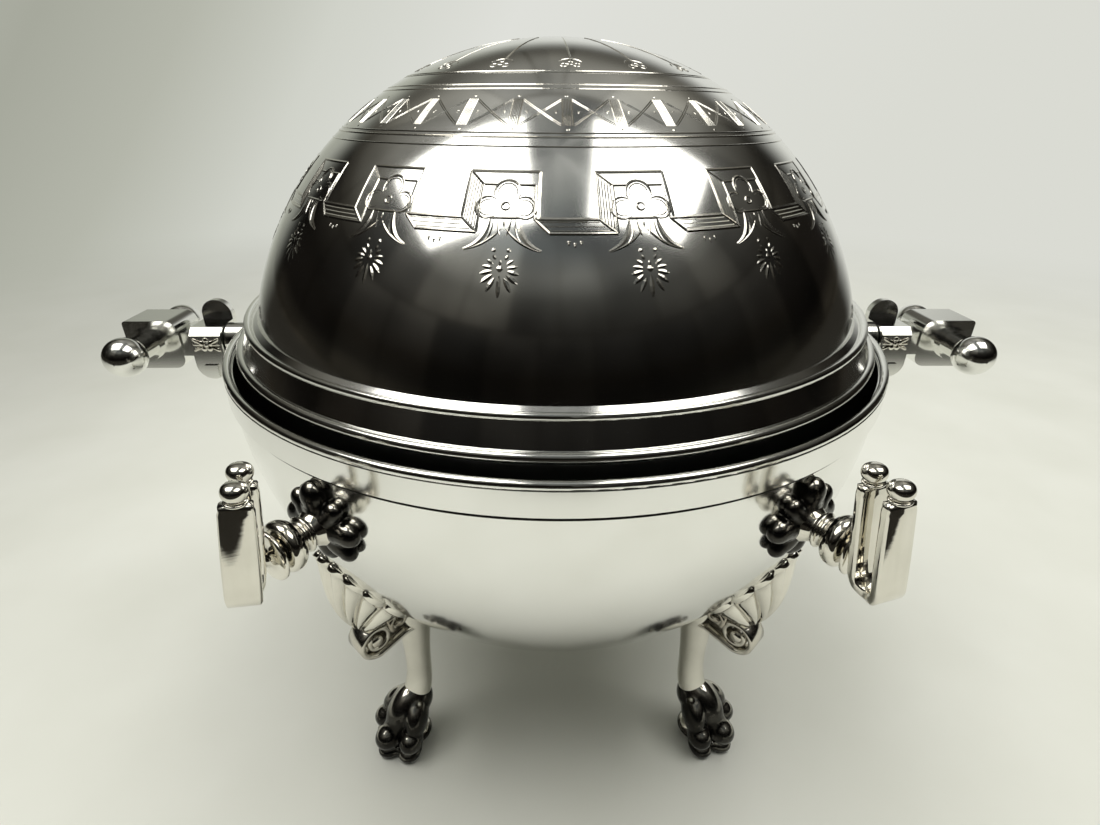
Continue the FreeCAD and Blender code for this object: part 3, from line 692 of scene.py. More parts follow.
@dataclass
class Form:
    """Gathers the closed skins of one piece, in millimetres, before they become a mesh."""

    skins: list = field(default_factory=list)

    def tube(self, points: np.ndarray) -> "Form":
        """Adds a tube whose two ends are drawn together to a point.

        Args:
            points: A grid with rows along the tube and columns round it.

        Returns:
            The form.
        """
        ends = [np.repeat(points[i].mean(0)[None, None], points.shape[1], 1) for i in (0, -1)]
        full = np.concatenate([ends[0], points, ends[1]])
        self.skins.append((full.reshape(-1, 3), quads(*full.shape[:2], wrap_columns=True)))
        return self

    def turned(self, profile: list, at: tuple, way: tuple, steps: int = 48, rounds: int = 2) -> "Form":
        """Adds a lathe-turned skin.

        A profile point (along, radius) becomes a ring: at + along * way + radius times cosine
        and sine of the angle in the plane square to the way.

        Args:
            profile: Pairs of distance along the axis and radius.
            at: Where the axis starts.
            way: The axis.
            steps: Points round.
            rounds: How often the profile's corners are cut.

        Returns:
            The form.
        """
        line_now = chaikin(np.array(profile, float), rounds)
        axis = np.array(way, float) / np.linalg.norm(way)
        helper = np.array([0.0, 1.0, 0.0]) if abs(axis[1]) < 0.9 else np.array([1.0, 0.0, 0.0])
        u = np.cross(axis, helper)
        u /= np.linalg.norm(u)
        v = np.cross(axis, u)
        a = np.linspace(0, 2 * np.pi, steps, endpoint=False)
        ring = np.cos(a)[:, None] * u + np.sin(a)[:, None] * v
        grid = np.array(at, float) + line_now[:, :1, None] * axis + line_now[:, 1:, None] * ring[None]
        return self.tube(grid)

    def swept(
        self, path: np.ndarray, across: tuple, section: np.ndarray, grow: np.ndarray | None = None
    ) -> "Form":
        """Adds a section carried along a path that lies in one plane.

        A section point (p, q) becomes path + p * grow * across + q * grow * normal, where the
        normal is the path's direction crossed with across.

        Args:
            path: Points along the middle.
            across: The unit direction square to the path's plane.
            section: Closed outline as pairs (across, along the normal).
            grow: Shares by which the section's two sides grow at each point of the path.

        Returns:
            The form.
        """
        run = np.gradient(path, axis=0)
        run /= np.linalg.norm(run, axis=1, keepdims=True)
        side = np.array(across, float)
        normal = np.cross(run, side)
        normal /= np.linalg.norm(normal, axis=1, keepdims=True)
        share = np.ones((len(path), 2)) if grow is None else np.asarray(grow, float)
        p = section[None, :, 0] * share[:, :1]
        q = section[None, :, 1] * share[:, 1:]
        return self.tube(path[:, None] + p[..., None] * side + q[..., None] * normal[:, None])

    def lobes(
        self, centre: tuple, eggs: list[Egg], rows: int = 44, columns: int = 64, crease: float = 16.0
    ) -> "Form":
        """Adds the skin round several ellipsoids as seen from a point among them.

        Along each direction the skin's distance is a soft maximum of the ellipsoids' own: the
        sum of their powers, to the power of one over the crease.

        Args:
            centre: The point that every ray leaves.
            eggs: The ellipsoids.
            rows: Points from pole to pole.
            columns: Points round.
            crease: How sharp the valleys between two ellipsoids are.

        Returns:
            The form.
        """
        start = np.array(centre, float)
        polar = np.linspace(0.001, np.pi - 0.001, rows)[:, None]
        about = np.linspace(0, 2 * np.pi, columns, endpoint=False)[None]
        ways = np.stack(
            [np.sin(polar) * np.cos(about), np.sin(polar) * np.sin(about), np.cos(polar) + 0 * about], -1
        )
        far = np.stack([egg.exit(start, ways) for egg in eggs])
        reach = (far**crease).sum(0) ** (1 / crease)
        return self.tube(start + reach[..., None] * ways)

    def shaped(self, change: Placer) -> "Form":
        """Moves every point so far by a function of whole arrays of points."""
        self.skins = [(change(points), faces) for points, faces in self.skins]
        return self

    def piece(
        self, name: str, place: Placer, tarnish: float = 0.0, depth: float = 0.5, side_shade: float = 0.0
    ) -> bpy.types.Object:
        """Makes the mesh: welds it, faces it outwards, darkens its valleys and paints shade on its sides.

        A point's valley is how far the mean of its neighbours stands out along its normal,
        as a share of their distance.

        Args:
            name: The object's name.
            place: Takes local points in millimetres to the object's frame, in millimetres.
            tarnish: Tarnish on the whole piece, from 0 to 1.
            depth: How strongly valleys darken.
            side_shade: Painted shade on what faces sideways or down, which leaves the upward tops lighter.

        Returns:
            The object.
        """
        points, faces, first = [], [], 0
        for skin, cells in self.skins:
            points.append(skin)
            faces.append(cells + first)
            first += len(skin)
        made = new_mesh(name, place(np.concatenate(points)) * MM, np.concatenate(faces))
        work = bmesh.new()
        work.from_mesh(made.data)
        bmesh.ops.remove_doubles(work, verts=work.verts, dist=WELD_MM * MM)
        bmesh.ops.dissolve_degenerate(work, edges=work.edges, dist=SLIVER_MM * MM)
        bmesh.ops.recalc_face_normals(work, faces=work.faces)
        work.to_mesh(made.data)
        work.free()
        mesh = made.data
        count = len(mesh.vertices)
        place_now, normals = np.empty(count * 3), np.empty(count * 3)
        mesh.vertices.foreach_get("co", place_now)
        mesh.vertices.foreach_get("normal", normals)
        place_now, normals = place_now.reshape(-1, 3), normals.reshape(-1, 3)
        ends = np.empty(len(mesh.edges) * 2, np.int64)
        mesh.edges.foreach_get("vertices", ends)
        a, b = ends.reshape(-1, 2).T
        gap = place_now[b] - place_now[a]
        size = np.linalg.norm(gap, axis=1) + 1e-9
        total, weight = np.zeros(count), np.zeros(count)
        np.add.at(total, a, (gap * normals[a]).sum(1) / size)
        np.add.at(total, b, -(gap * normals[b]).sum(1) / size)
        np.add.at(weight, a, 1)
        np.add.at(weight, b, 1)
        valley = np.clip(total / np.maximum(weight, 1) * 4 * depth, 0, 0.8)
        # painted shade: what faces sideways or down darkens and the upward tops stay light, added to the real
        # tarnish
        painted_shade = side_shade * (1 - np.clip((normals[:, 2] - 0.45) / 0.4, 0, 1))
        layer = mesh.attributes.new("hollow", "FLOAT", "POINT")
        layer.data.foreach_set("value", np.clip(valley + tarnish + painted_shade, 0, 1).astype(np.float32))
        return made


def seated(points: np.ndarray, radius: float = 73.8) -> np.ndarray:
    """Keeps points out of the bowl: those nearer the pivot centre move out to the radius.

    A point's offset from the centre grows by radius over its length where that is over 1.

    Args:
        points: Positions in millimetres with a last axis of three.
        radius: The least distance from the pivot centre, just inside the bowl's outside.

    Returns:
        The points, moved where they had to be.
    """
    centre = np.array([0.0, 0.0, PIVOT_MM])
    off = points - centre
    size = np.linalg.norm(off, axis=-1, keepdims=True)
    return centre + off * np.maximum(1, radius / np.maximum(size, 1e-6))


# Engraving on the lid


@dataclass
class Stroke:
    """One cut of the graver: a line of points in millimetres on the unrolled surface.

    The first value of a point runs to the right and the second upwards.
    """

    points: np.ndarray
    width: float = 0.34
    depth: float = 0.05
    pointed: bool = True


def line(
    x0: float, y0: float, x1: float, y1: float, width: float = 0.30, steps: int = 5, pointed: bool = False
) -> Stroke:
    """Makes a straight cut: points at even shares between its two ends."""
    t = np.linspace(0, 1, steps)[:, None]
    return Stroke(np.array([[x0, y0]]) * (1 - t) + np.array([[x1, y1]]) * t, width, pointed=pointed)


def arc(
    cx: float, cy: float, r: float, start: float, end: float, width: float = 0.34, steps: int = 15
) -> Stroke:
    """Makes a cut along a circle: centre plus radius times cosine and sine, start to end degrees."""
    a = np.radians(np.linspace(start, end, steps))
    return Stroke(np.stack([cx + r * np.cos(a), cy + r * np.sin(a)], -1), width)


def bend(p0: tuple, p1: tuple, p2: tuple, width: float = 0.36, steps: int = 13) -> Stroke:
    """Makes a cut along a parabola that leaves p0 towards p1 and arrives at p2 from it.

    The point at share t is (1-t)^2 p0 + 2t(1-t) p1 + t^2 p2.

    Args:
        p0: Where the cut starts.
        p1: The point that it bends towards.
        p2: Where it ends.
        width: Its width.
        steps: Points along it.

    Returns:
        The cut.
    """
    t = np.linspace(0, 1, steps)[:, None]
    a, b, c = (np.array([p], float) for p in (p0, p1, p2))
    return Stroke((1 - t) ** 2 * a + 2 * t * (1 - t) * b + t**2 * c, width)


@dataclass
class LidEngraving:
    """The bright-cut ornament of the half globe lid.

    Bright cutting leaves facets that tilt to each side, so the lines flash light on a dark
    reflection and dark on a light one. Each cut is a fine three-sided bead with those facets.
    """

    radius: float = 69.0
    sink: float = 4.1
    bands: tuple = (
        (63.2, 0.34), (62.7, 0.2), (59.6, 0.55), (58.6, 0.4), (49.75, 0.34), (49.05, 0.5), (47.5, 0.34),
    )
    ring_steps: int = 192
    bead_foot: float = -0.02
    zigzag_count: int = 32
    zigzag_phase: float = 0.4
    zigzag_top: float = 56.2
    zigzag_low: float = 51.0
    frieze_count: int = 17
    frieze_phase: float = -9.6
    frieze_level: float = 39.1
    spray_count: int = 15
    spray_phase: float = 2.5
    spray_level: float = 64.4

    def on_globe(self, azimuth: np.ndarray, elevation: np.ndarray, lift: np.ndarray) -> np.ndarray:
        """Places angles on the lid's outside.

        The point is the globe's centre plus (radius + lift) times (cos e sin a, -cos e cos a,
        sin e), so azimuth 0 faces the front.

        Args:
            azimuth: Angles round the upright axis, in radians, towards the right.
            elevation: Angles above the globe's equator, in radians.
            lift: Distance outside the surface, in millimetres.

        Returns:
            Positions in metres with a last axis of three.
        """
        r = self.radius + lift
        return np.stack(
            [
                r * np.cos(elevation) * np.sin(azimuth) * MM,
                -r * np.cos(elevation) * np.cos(azimuth) * MM,
                (r * np.sin(elevation) - self.sink) * MM + PIVOT_HEIGHT,
            ],
            -1,
        )

    def cut(
        self, name: str, strokes: list[Stroke], level: float, azimuths: np.ndarray, bold: float
    ) -> tuple[np.ndarray, np.ndarray]:
        """Repeats a motif round the lid as three-sided beads.

        A stroke's point (u, v) has azimuth a + u / (radius cos level) and elevation
        level + v / radius. At each point the bead has a foot to either side, half a width
        from the line and square to it, and a crest above the line. Pointed strokes narrow
        to their ends as the sine of the share along them.

        Args:
            name: What the motif is, for the log.
            strokes: The cuts of one repeat.
            level: Elevation of the motif's own origin, in degrees.
            azimuths: Azimuth of each repeat, in degrees.
            bold: By how much every cut is widened.

        Returns:
            Points in metres and the corner numbers of the faces.
        """
        all_points, all_faces, first = [], [], 0
        e0 = math.radians(level)
        for count in sorted({len(s.points) for s in strokes}):
            group = [s for s in strokes if len(s.points) == count]
            path = np.stack([s.points for s in group])
            along = np.linspace(0, 1, count)
            narrowed = np.clip(np.sin(np.pi * (0.04 + 0.92 * along)) ** 0.6, 0.12, 1)
            swell = np.stack([narrowed if s.pointed else np.ones(count) for s in group])
            half = swell * np.array([s.width * bold / 2 for s in group])[:, None]
            crest = swell * np.array([s.depth * bold for s in group])[:, None]
            step = np.gradient(path, axis=1)
            step /= np.maximum(np.linalg.norm(step, axis=-1, keepdims=True), 1e-9)
            side = np.stack([-step[..., 1], step[..., 0]], -1)
            flat = np.stack([path + side * half[..., None], path, path - side * half[..., None]], 2)
            foot = np.full_like(crest, self.bead_foot)
            lift = np.stack([foot, crest, foot], 2)
            turned = np.radians(azimuths)[:, None, None, None]
            a = turned + flat[None, ..., 0] / (self.radius * math.cos(e0))
            e = np.broadcast_to(e0 + flat[None, ..., 1] / self.radius, a.shape)
            points = self.on_globe(a, e, np.broadcast_to(lift[None], a.shape))
            copies = points.shape[0] * points.shape[1]
            cells = quads(count, 3, wrap_columns=True)[:, ::-1]
            starts = first + np.arange(copies) * count * 3
            all_points.append(points.reshape(-1, 3))
            all_faces.append((starts[:, None, None] + cells[None]).reshape(-1, 4))
            first += copies * count * 3
        LOG.info("%s: %d cuts to a repeat, %d repeats", name, len(strokes), len(azimuths))
        return np.concatenate(all_points), np.concatenate(all_faces)

    def rings(self) -> tuple[np.ndarray, np.ndarray]:
        """Cuts the plain lines that run right round the lid.

        Each is a bead of three points carried round in even steps at its own elevation.

        Returns:
            Points in metres and the corner numbers of the faces.
        """
        a = np.linspace(0, 2 * np.pi, self.ring_steps, endpoint=False)
        points, faces = [], []
        for number, (level, width) in enumerate(self.bands):
            e = math.radians(level) + np.array([-1, 0, 1]) * width / 2 / self.radius
            lift = np.array([self.bead_foot, 0.05 + width * 0.06, self.bead_foot])
            column = np.zeros((len(a), 1))
            grid = self.on_globe(a[:, None] + 0 * e[None], e[None] + column, lift[None] + column)
            points.append(grid.reshape(-1, 3))
            faces.append(number * len(a) * 3 + quads(len(a), 3, wrap_rows=True, wrap_columns=True))
        return np.concatenate(points), np.concatenate(faces)

    def zigzag(self) -> tuple[list[Stroke], float, np.ndarray]:
        """Draws one repeat of the crossed strapwork between its two lines.

        An upright hatched bar, two crossing straps to the next bar, a punched dot above and
        below the bar and a small wedge at each side of it.

        Returns:
            The strokes, the elevation of their origin and the azimuth of each repeat.
        """
        middle = (self.zigzag_top + self.zigzag_low) / 2
        tall = math.radians(self.zigzag_top - self.zigzag_low) * self.radius / 2
        pitch = 2 * math.pi / self.zigzag_count * self.radius * math.cos(math.radians(middle))
        strokes = [line(x, -tall, x, tall, 0.17, 4) for x in np.linspace(-0.62, 0.62, 6)]
        strokes += [line(-0.8, -tall, -0.8, tall, 0.24, 4), line(0.8, -tall, 0.8, tall, 0.24, 4)]
        for shift in (0.0, 0.42):
            strokes.append(line(0.95, tall - shift, pitch - 0.95, -tall - shift + 0.42, 0.24, 6))
            strokes.append(line(0.95, -tall + shift, pitch - 0.95, tall + shift - 0.42, 0.24, 6))
        strokes += [line(-0.3, y, 0.3, y, 0.6, 4, True) for y in (tall + 0.75, -tall - 0.75)]
        for x in (1.75, pitch - 1.75):
            strokes.append(line(x - 0.32, 0.16, x + 0.32, 0.16, 0.34, 4, True))
            strokes.append(line(x, 0.3, x, -0.42, 0.34, 4, True))
        azimuths = self.zigzag_phase + np.arange(self.zigzag_count) * 360 / self.zigzag_count
        return strokes, middle, azimuths

    def frieze(self) -> tuple[list[Stroke], float, np.ndarray]:
        """Draws one repeat of the fret with its flower, bell of leaves and burst.

        Returns:
            The strokes, the elevation of their origin and the azimuth of each repeat.
        """
        pitch = 2 * math.pi / self.frieze_count * self.radius * math.cos(math.radians(self.frieze_level))
        left, inner, right = -6.4, -3.9, 4.8
        top, under, low, base = 5.5, 3.2, -2.3, -4.5
        strokes = [
            line(left, top, right, top, 0.42, 13),
            line(inner, under, -1.7, under, 0.3),
            line(1.7, under, right - 0.6, under, 0.3),
            line(left, top, left, low, 0.34, 9),
            line(inner, under, inner, base, 0.34, 9),
            line(left, top, inner, under, 0.3),
            line(left, low, inner, base, 0.34),
            line(right, top, right, low, 0.36, 9),
            line(right - 0.6, under, right - 0.6, low, 0.26, 7),
            line(right - 0.6, low, pitch + left, low, 0.5, 11),
            line(right + 1.6, base, pitch + inner, base, 0.4, 11),
            line(right - 0.6, low, right + 1.6, base, 0.34),
        ]
        for x in np.linspace(left + 0.4, inner - 0.4, 5):
            share = (x - left) / (inner - left)
            high, deep = top - share * (top - under) - 0.3, low - share * (low - base) + 0.3
            strokes.append(line(x, high, x, deep, 0.15, 6))
        for y in np.linspace(low - 0.45, base + 0.45, 3):
            share = (low - y) / (low - base)
            start, end = right - 0.6 + share * 2.2, pitch + left + share * (inner - left)
            strokes.append(line(start + 0.5, y, end - 0.5, y, 0.13, 9))
        # the flower: a round petal over two curling ones, each with a second fine line inside
        for shrink, w in ((0.0, 0.40), (0.5, 0.18)):
            strokes.append(arc(0, 2.0, 2.0 - shrink, -30, 210, w))
            strokes.append(arc(-2.75, -0.55, 1.75 - shrink, 50, 310, w))
            strokes.append(arc(2.75, -0.55, 1.75 - shrink, 130, -130, w))
        strokes += [arc(0, -0.3, 0.6, 0, 360, 0.3, 13), line(-2.2, -2.2, 2.2, -2.2, 0.34)]
        for s in (-1, 1):
            # the bell flares into two pointed leaves that curl outwards
            strokes.append(bend((s * 2.1, -2.1), (s * 2.3, -6.2), (s * 5.4, -7.15), 0.62, 15))
            strokes.append(bend((s * 0.4, -3.9), (s * 2.0, -6.3), (s * 5.3, -7.3), 0.34, 15))
            strokes.append(bend((s * 1.6, -2.4), (s * 1.5, -5.4), (s * 3.2, -6.5), 0.2))
            strokes.append(bend((s * 1.0, -2.4), (s * 0.8, -4.2), (s * 0.45, -5.0), 0.2))
            strokes.append(line(s * 0.75, -7.0, s * 1.3, -7.3, 0.5, 4, True))
        strokes.append(line(0, -2.5, 0, -3.6, 0.26, 4, True))
        # the burst: a spade with dashes all round it, the longest pointing down
        burst = -9.9
        strokes += [line(0, -8.6, 0, -9.6, 0.3, 4, True), line(-0.42, -9.85, 0.42, -9.85, 0.8, 4, True)]
        for turn, near, far, w in (
            (0, 1.0, 4.2, 0.50), (25, 1.5, 3.7, 0.52), (48, 1.3, 3.2, 0.55), (73, 1.1, 2.7, 0.52),
            (99, 1.0, 2.4, 0.46), (127, 1.1, 2.2, 0.42), (154, 1.5, 2.3, 0.36),
        ):
            for s in (-1, 1) if turn else (1,):
                x, y = s * math.sin(math.radians(turn)), -math.cos(math.radians(turn))
                strokes.append(line(near * x, burst + near * y, far * x, burst + far * y, w, 5, True))
        for x, y in ((pitch / 2 - 0.85, -5.75), (pitch / 2, -6.05), (pitch / 2 + 0.85, -5.75)):
            strokes.append(line(x - 0.22, y, x + 0.22, y, 0.36, 4, True))
            strokes.append(line(x, y, x, y - 0.55, 0.24, 4, True))
        azimuths = self.frieze_phase + np.arange(self.frieze_count) * 360 / self.frieze_count
        return strokes, self.frieze_level, azimuths

    def sprays(self) -> tuple[list[Stroke], float, np.ndarray]:
        """Draws one radial stem from the crown with its three looped leaves.

        Returns:
            The strokes, the elevation of their origin and the azimuth of each repeat.
        """
        strokes = [line(0, 2.2, 0, 20.0, 0.26, 13), line(0.3, 3.2, 0.12, 19.0, 0.16, 13)]
        for x, y, r in ((0, 1.5, 0.62), (-1.15, 0.75, 0.6), (1.15, 0.75, 0.6)):
            strokes.append(arc(x, y, r, 0, 360, 0.28, 13))
        strokes += [bend((0, 3.4), (s * 1.6, 3.2), (s * 2.1, 2.0), 0.3) for s in (-1, 1)]
        azimuths = self.spray_phase + np.arange(self.spray_count) * 360 / self.spray_count
        return strokes, self.spray_level, azimuths

    def build(self, material: bpy.types.Material) -> None:
        """Builds the lid's four engraved fields.

        Args:
            material: The bright-cut finish.
        """
        made = []
        fields = {
            "lid_zigzag_band": (self.zigzag(), 0.9),
            "lid_fret_frieze": (self.frieze(), 1.4),
            "lid_crown_sprays": (self.sprays(), 1.4),
        }
        for name, ((strokes, level, azimuths), bold) in fields.items():
            points, faces = self.cut(name, strokes, level, azimuths, bold)
            made.append(new_mesh(name, points, faces, smooth=False))
        points, faces = self.rings()
        made.append(new_mesh("lid_ring_lines", points, faces, smooth=False))
        for piece in made:
            settle(piece, Body.DOME, material)


# Feet


def strap_section(half_width: float, half_thick: float, round_off: float = 0.35) -> np.ndarray:
    """Gives a flat strap's outline: a rectangle with its four corners cut off.

    Args:
        half_width: Half its width.
        half_thick: Half its thickness.
        round_off: How much of each side a corner's cut takes.

    Returns:
        Eight points, one row each.
    """
    w, t, c = half_width, half_thick, round_off
    corners = [
        (w, -t + c), (w, t - c), (w - c, t), (-w + c, t),
        (-w, t - c), (-w, -t + c), (-w + c, -t), (w - c, -t),
    ]
    return np.array(corners, float)


@dataclass
class PawFoot:
    """One of the four cast legs: a paw, a column, a rolled scroll and a shell of ribs.

    Its own frame has x outwards along the diagonal, y to the side and z up from the table.
    """

    paw_at: float = 53.6
    scroll_at: float = 61.0
    scroll_height: float = 41.9
    scroll_radius: float = 4.3
    scroll_half: float = 2.9
    ribs: int = 9
    fan_half_deg: float = 98
    fan_half_width: float = 9.4
    fan_root: float = 53.5
    fan_rise: float = 16.3
    fan_rim_radius: float = 74.3
    fan_thick: float = 1.3
    curl_out: float = 56.4
    curl_side: float = 4.6
    curl_height: float = 47.0

    def place(self, side_x: int, side_y: int) -> Placer:
        """Gives the function that takes the foot's own frame to one corner of the dish.

        Outwards runs along the diagonal: X = (x + y) / sqrt 2 and Y = (x - y) / sqrt 2, each
        with the sign of its corner.

        Args:
            side_x: 1 for the right, -1 for the left.
            side_y: 1 for the back, -1 for the front.

        Returns:
            The function.
        """
        half = math.sqrt(0.5)

        def there(points: np.ndarray) -> np.ndarray:
            """Moves local points to the corner."""
            x, y, z = points[..., 0], points[..., 1], points[..., 2]
            return np.stack([side_x * half * (x + y), side_y * half * (x - y), z], -1)

        return there

    def paw(self) -> Form:
        """Models the instep, the three toes, their joints and the pad they stand on.

        Returns:
            The form, flat where it meets the table.
        """
        at = self.paw_at
        eggs = [
            Egg((at + 1.6, 0, 11.6), (7.2, 4.1, 4.6), pitch=50),
            Egg((at - 1.8, 0, 12.6), (4.2, 4.2, 5.0)),
            Egg((at + 5.0, 0, 7.8), (4.4, 3.0, 3.2), pitch=34),
            Egg((at + 7.4, 0, 5.9), (3.7, 3.3, 3.3), pitch=8),
        ]
        for side in (-1, 1):
            eggs.append(Egg((at + 0.8, side * 3.2, 10.4), (5.8, 3.1, 4.3), yaw=side * 40, pitch=46))
            eggs.append(Egg((at + 4.3, side * 5.1, 6.0), (3.6, 3.1, 3.2), yaw=side * 40, pitch=8))
        form = Form().lobes((at + 1.6, 0, 8.6), eggs, rows=72, columns=104, crease=26)
        # the pad that stands on the table bulges a little under each toe
        pads = [Egg((at + 0.4, 0, 1.7), (4.8, 4.7, 2.2))]
        for yaw, reach in ((0, 6.9), (43, 6.0), (-43, 6.0)):
            s, c = math.sin(math.radians(yaw)), math.cos(math.radians(yaw))
            pads.append(Egg((at + reach * c, reach * s, 1.7), (3.9, 3.1, 2.2), yaw=yaw))
        form.lobes((at + 1.2, 0, 1.7), pads, rows=40, columns=104, crease=24)
        return form.shaped(lambda p: np.concatenate([p[..., :2], np.maximum(p[..., 2:], 0)], -1))

    def column(self) -> Form:
        """Models the shank: oval sections down a smooth line from the bowl to the ankle.

        Returns:
            The form.
        """
        # outwards, height, half depth and half width of each section
        knots = np.array([
            (49.9, 47.5, 5.0, 4.4), (49.8, 42.0, 4.6, 3.9), (49.6, 36.0, 3.9, 3.4),
            (49.7, 29.0, 3.3, 2.9), (49.9, 22.0, 3.2, 2.8), (50.6, 17.0, 3.7, 3.3),
            (51.8, 13.5, 3.8, 3.5), (52.2, 10.5, 2.6, 2.4),
        ])
        line_now = chaikin(knots, 3)
        about = np.linspace(0, 2 * np.pi, 40, endpoint=False)
        # a soft ridge runs down the outside, as on a shin
        ridge = 1 + 0.05 * np.maximum(np.cos(about), 0) ** 6
        grid = np.stack(
            [
                line_now[:, :1] + line_now[:, 2:3] * (ridge * np.cos(about))[None],
                line_now[:, 3:4] * np.sin(about)[None],
                line_now[:, 1:2] + 0 * about[None],
            ],
            -1,
        )
        return Form().tube(grid)

    def scroll(self) -> Form:
        """Models the rolled strap, its eye and the bridge that joins it to the column.

        The strap runs out from the column, then its radius shrinks evenly with the angle as it
        rolls up, over and inwards.

        Returns:
            The form.
        """
        x0, z0, r0 = self.scroll_at, self.scroll_height, self.scroll_radius
        angle = np.radians(np.linspace(-90, 400, 72))
        share = np.linspace(0, 1, 72)
        r = r0 * (1 - 0.62 * share)
        spiral = np.stack([x0 + r * np.cos(angle), 0 * r, z0 + r * np.sin(angle)], -1)
        lead = [(48.5, 0, 37.6), (52.5, 0, 39.6), (56.5, 0, 38.6), (x0 - 0.3, 0, z0 - r0)]
        path = np.concatenate([chaikin(np.array(lead), 3)[:-1], spiral])
        grow = np.ones((len(path), 2))
        grow[:, 0] = np.linspace(1.12, 0.96, len(path))
        grow[-10:, 1] = np.linspace(1, 1.5, 10)
        form = Form().swept(path, (0, 1, 0), strap_section(self.scroll_half, 0.62), grow)
        bridge = [
            (x0 - 2.6, 0, z0 + 1.9), (x0 - 5.4, 0, z0 + 1.3), (x0 - 9.0, 0, z0 + 2.2), (49.0, 0, 45.0),
        ]
        form.swept(chaikin(np.array(bridge), 3), (0, 1, 0), strap_section(2.7, 0.7))
        web = np.linspace((x0 - 3.4, 0, z0 - 0.4), (49.4, 0, z0 - 0.2), 10)
        form.swept(web, (0, 1, 0), strap_section(1.7, 2.3, 0.8))
        for side in (-1, 1):
            eye = [(0, 0.0), (0, 1.5), (0.55, 1.45), (0.95, 1.0), (1.15, 0.0)]
            form.turned(eye, (x0 + 0.2, side * (self.scroll_half - 0.5), z0 + 0.1), (0, side, 0), 32)
        return form

    def shell(self) -> Form:
        """Models the ribbed shell that opens up the bowl from the scroll.

        Every rib leaves the hinge on the scroll and ends on the bowl. With u across from -1 to
        1 and t from hinge to rim, the surface is hinge + (rim - hinge) t, pushed out by a dome
        of sin(pi t) and by rounded ribs |cos(ribs pi / 2 u)|, which stand highest mid-rib.

        Returns:
            The form.
        """
        across, down = 14 * self.ribs + 1, 30
        u = np.linspace(-1, 1, across)[None]
        t = np.linspace(0, 1, down)[:, None]
        turn = u * math.radians(self.fan_half_deg)
        rib = np.abs(np.cos(self.ribs * np.pi / 2 * u + (self.ribs % 2 == 0) * np.pi / 2))
        rim_y = self.fan_half_width * np.sin(turn)
        rim_z = self.fan_root + self.fan_rise * np.cos(turn)
        rim_x = np.sqrt(np.maximum(self.fan_rim_radius**2 - rim_y**2 - (rim_z - PIVOT_MM) ** 2, 1))
        hinge = np.array([self.scroll_at + 1.6, 0.0, self.scroll_height + self.scroll_radius * 0.8])
        reach = t * (0.94 + 0.06 * rib**0.5)
        bulge = np.sin(np.pi * t**0.8) * (2.0 + 0.5 * np.cos(turn))
        ribs_out = (rib**0.8 - 0.4) * 1.5 * np.sin(np.pi * (0.08 + 0.8 * t)) ** 0.7
        lip = 0.9 * np.clip((t - 0.86) / 0.14, 0, 1) ** 2
        out = bulge + ribs_out + lip
        x = hinge[0] + (rim_x - hinge[0]) * reach + out * np.cos(turn * 0.45) * 0.93
        y = hinge[1] + rim_y * reach * (0.35 + 0.65 * t**0.5) + out * np.sin(turn * 0.6) * 0.6
        z = hinge[2] + (rim_z - hinge[2]) * reach - out * 0.30
        face = np.stack([x, y, z], -1)
        toward = np.array([0.0, 0.0, PIVOT_MM]) - face
        back = face + toward / np.linalg.norm(toward, axis=-1, keepdims=True) * self.fan_thick
        grid = np.concatenate([face, back[:, ::-1]], 1)
        middle = (face[-1:] + back[-1:]) / 2
        rim = np.concatenate([middle, middle[:, ::-1]], 1)
        return Form().tube(np.concatenate([grid, rim])).shaped(seated)

    def curls(self) -> Form:
        """Models the small curled leaf on each side between the shell and the column.

        Returns:
            The form.
        """
        form = Form()
        for side in (-1, 1):
            angle = np.radians(np.linspace(-40, 330, 40))
            r = np.linspace(2.5, 0.9, 40)
            beside = np.full(40, side * self.curl_side)
            x, z = self.curl_out + r * np.cos(angle), self.curl_height + r * np.sin(angle)
            grow = np.linspace([1.15, 1.0], [0.7, 1.3], 40)
            form.swept(np.stack([x, beside, z], -1), (0, 1, 0), strap_section(1.3, 0.5, 0.25), grow)
            root = (53.4, side * 4.4, 47.2)
            blade = Egg(root, (3.6, 1.5, 1.7), pitch=-24)
            stem = Egg((50.8, side * 4.0, 48.6), (2.6, 1.7, 1.5), pitch=-30)
            form.lobes(root, [blade, stem], 18, 24)
        return form.shaped(seated)

    def build(
        self, dark: bpy.types.Material, material: bpy.types.Material, pale: bpy.types.Material
    ) -> None:
        """Builds the four feet and lets them stand for the CAD's own.

        Args:
            dark: The finish of the paws.
            material: The finish of the scrolls and curled leaves.
            pale: The finish of the shanks and shells.
        """
        corners = ((1, -1, "front_right"), (-1, -1, "front_left"), (1, 1, "back_right"), (-1, 1, "back_left"))
        for side_x, side_y, corner in corners:
            there = self.place(side_x, side_y)
            # the last number given to paw, scroll and curled leaf is painted shade on what faces sideways or
            # down
            foot = self.paw().piece(f"paw_{corner}", there, 0.05, 1.3, 0.9)
            shank = self.column().piece(f"shank_{corner}", there, 0.0, 0.2)
            roll = self.scroll().piece(f"scroll_{corner}", there, 0.05, 1.8, 0.3)
            curl = self.curls().piece(f"curled_leaf_{corner}", there, 0.15, 1.2, 0.5)
            leaf = self.shell().piece(f"ribbed_shell_{corner}", there, 0.0, 1.6)
            dressed = ((foot, dark), (shank, pale), (roll, material), (curl, material), (leaf, pale))
            for made, finish in dressed:
                settle(made, Body.BOWL, finish)
            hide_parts(f"leg_{corner}")
            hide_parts(f"foot_fan_{corner}")


# Knife rests


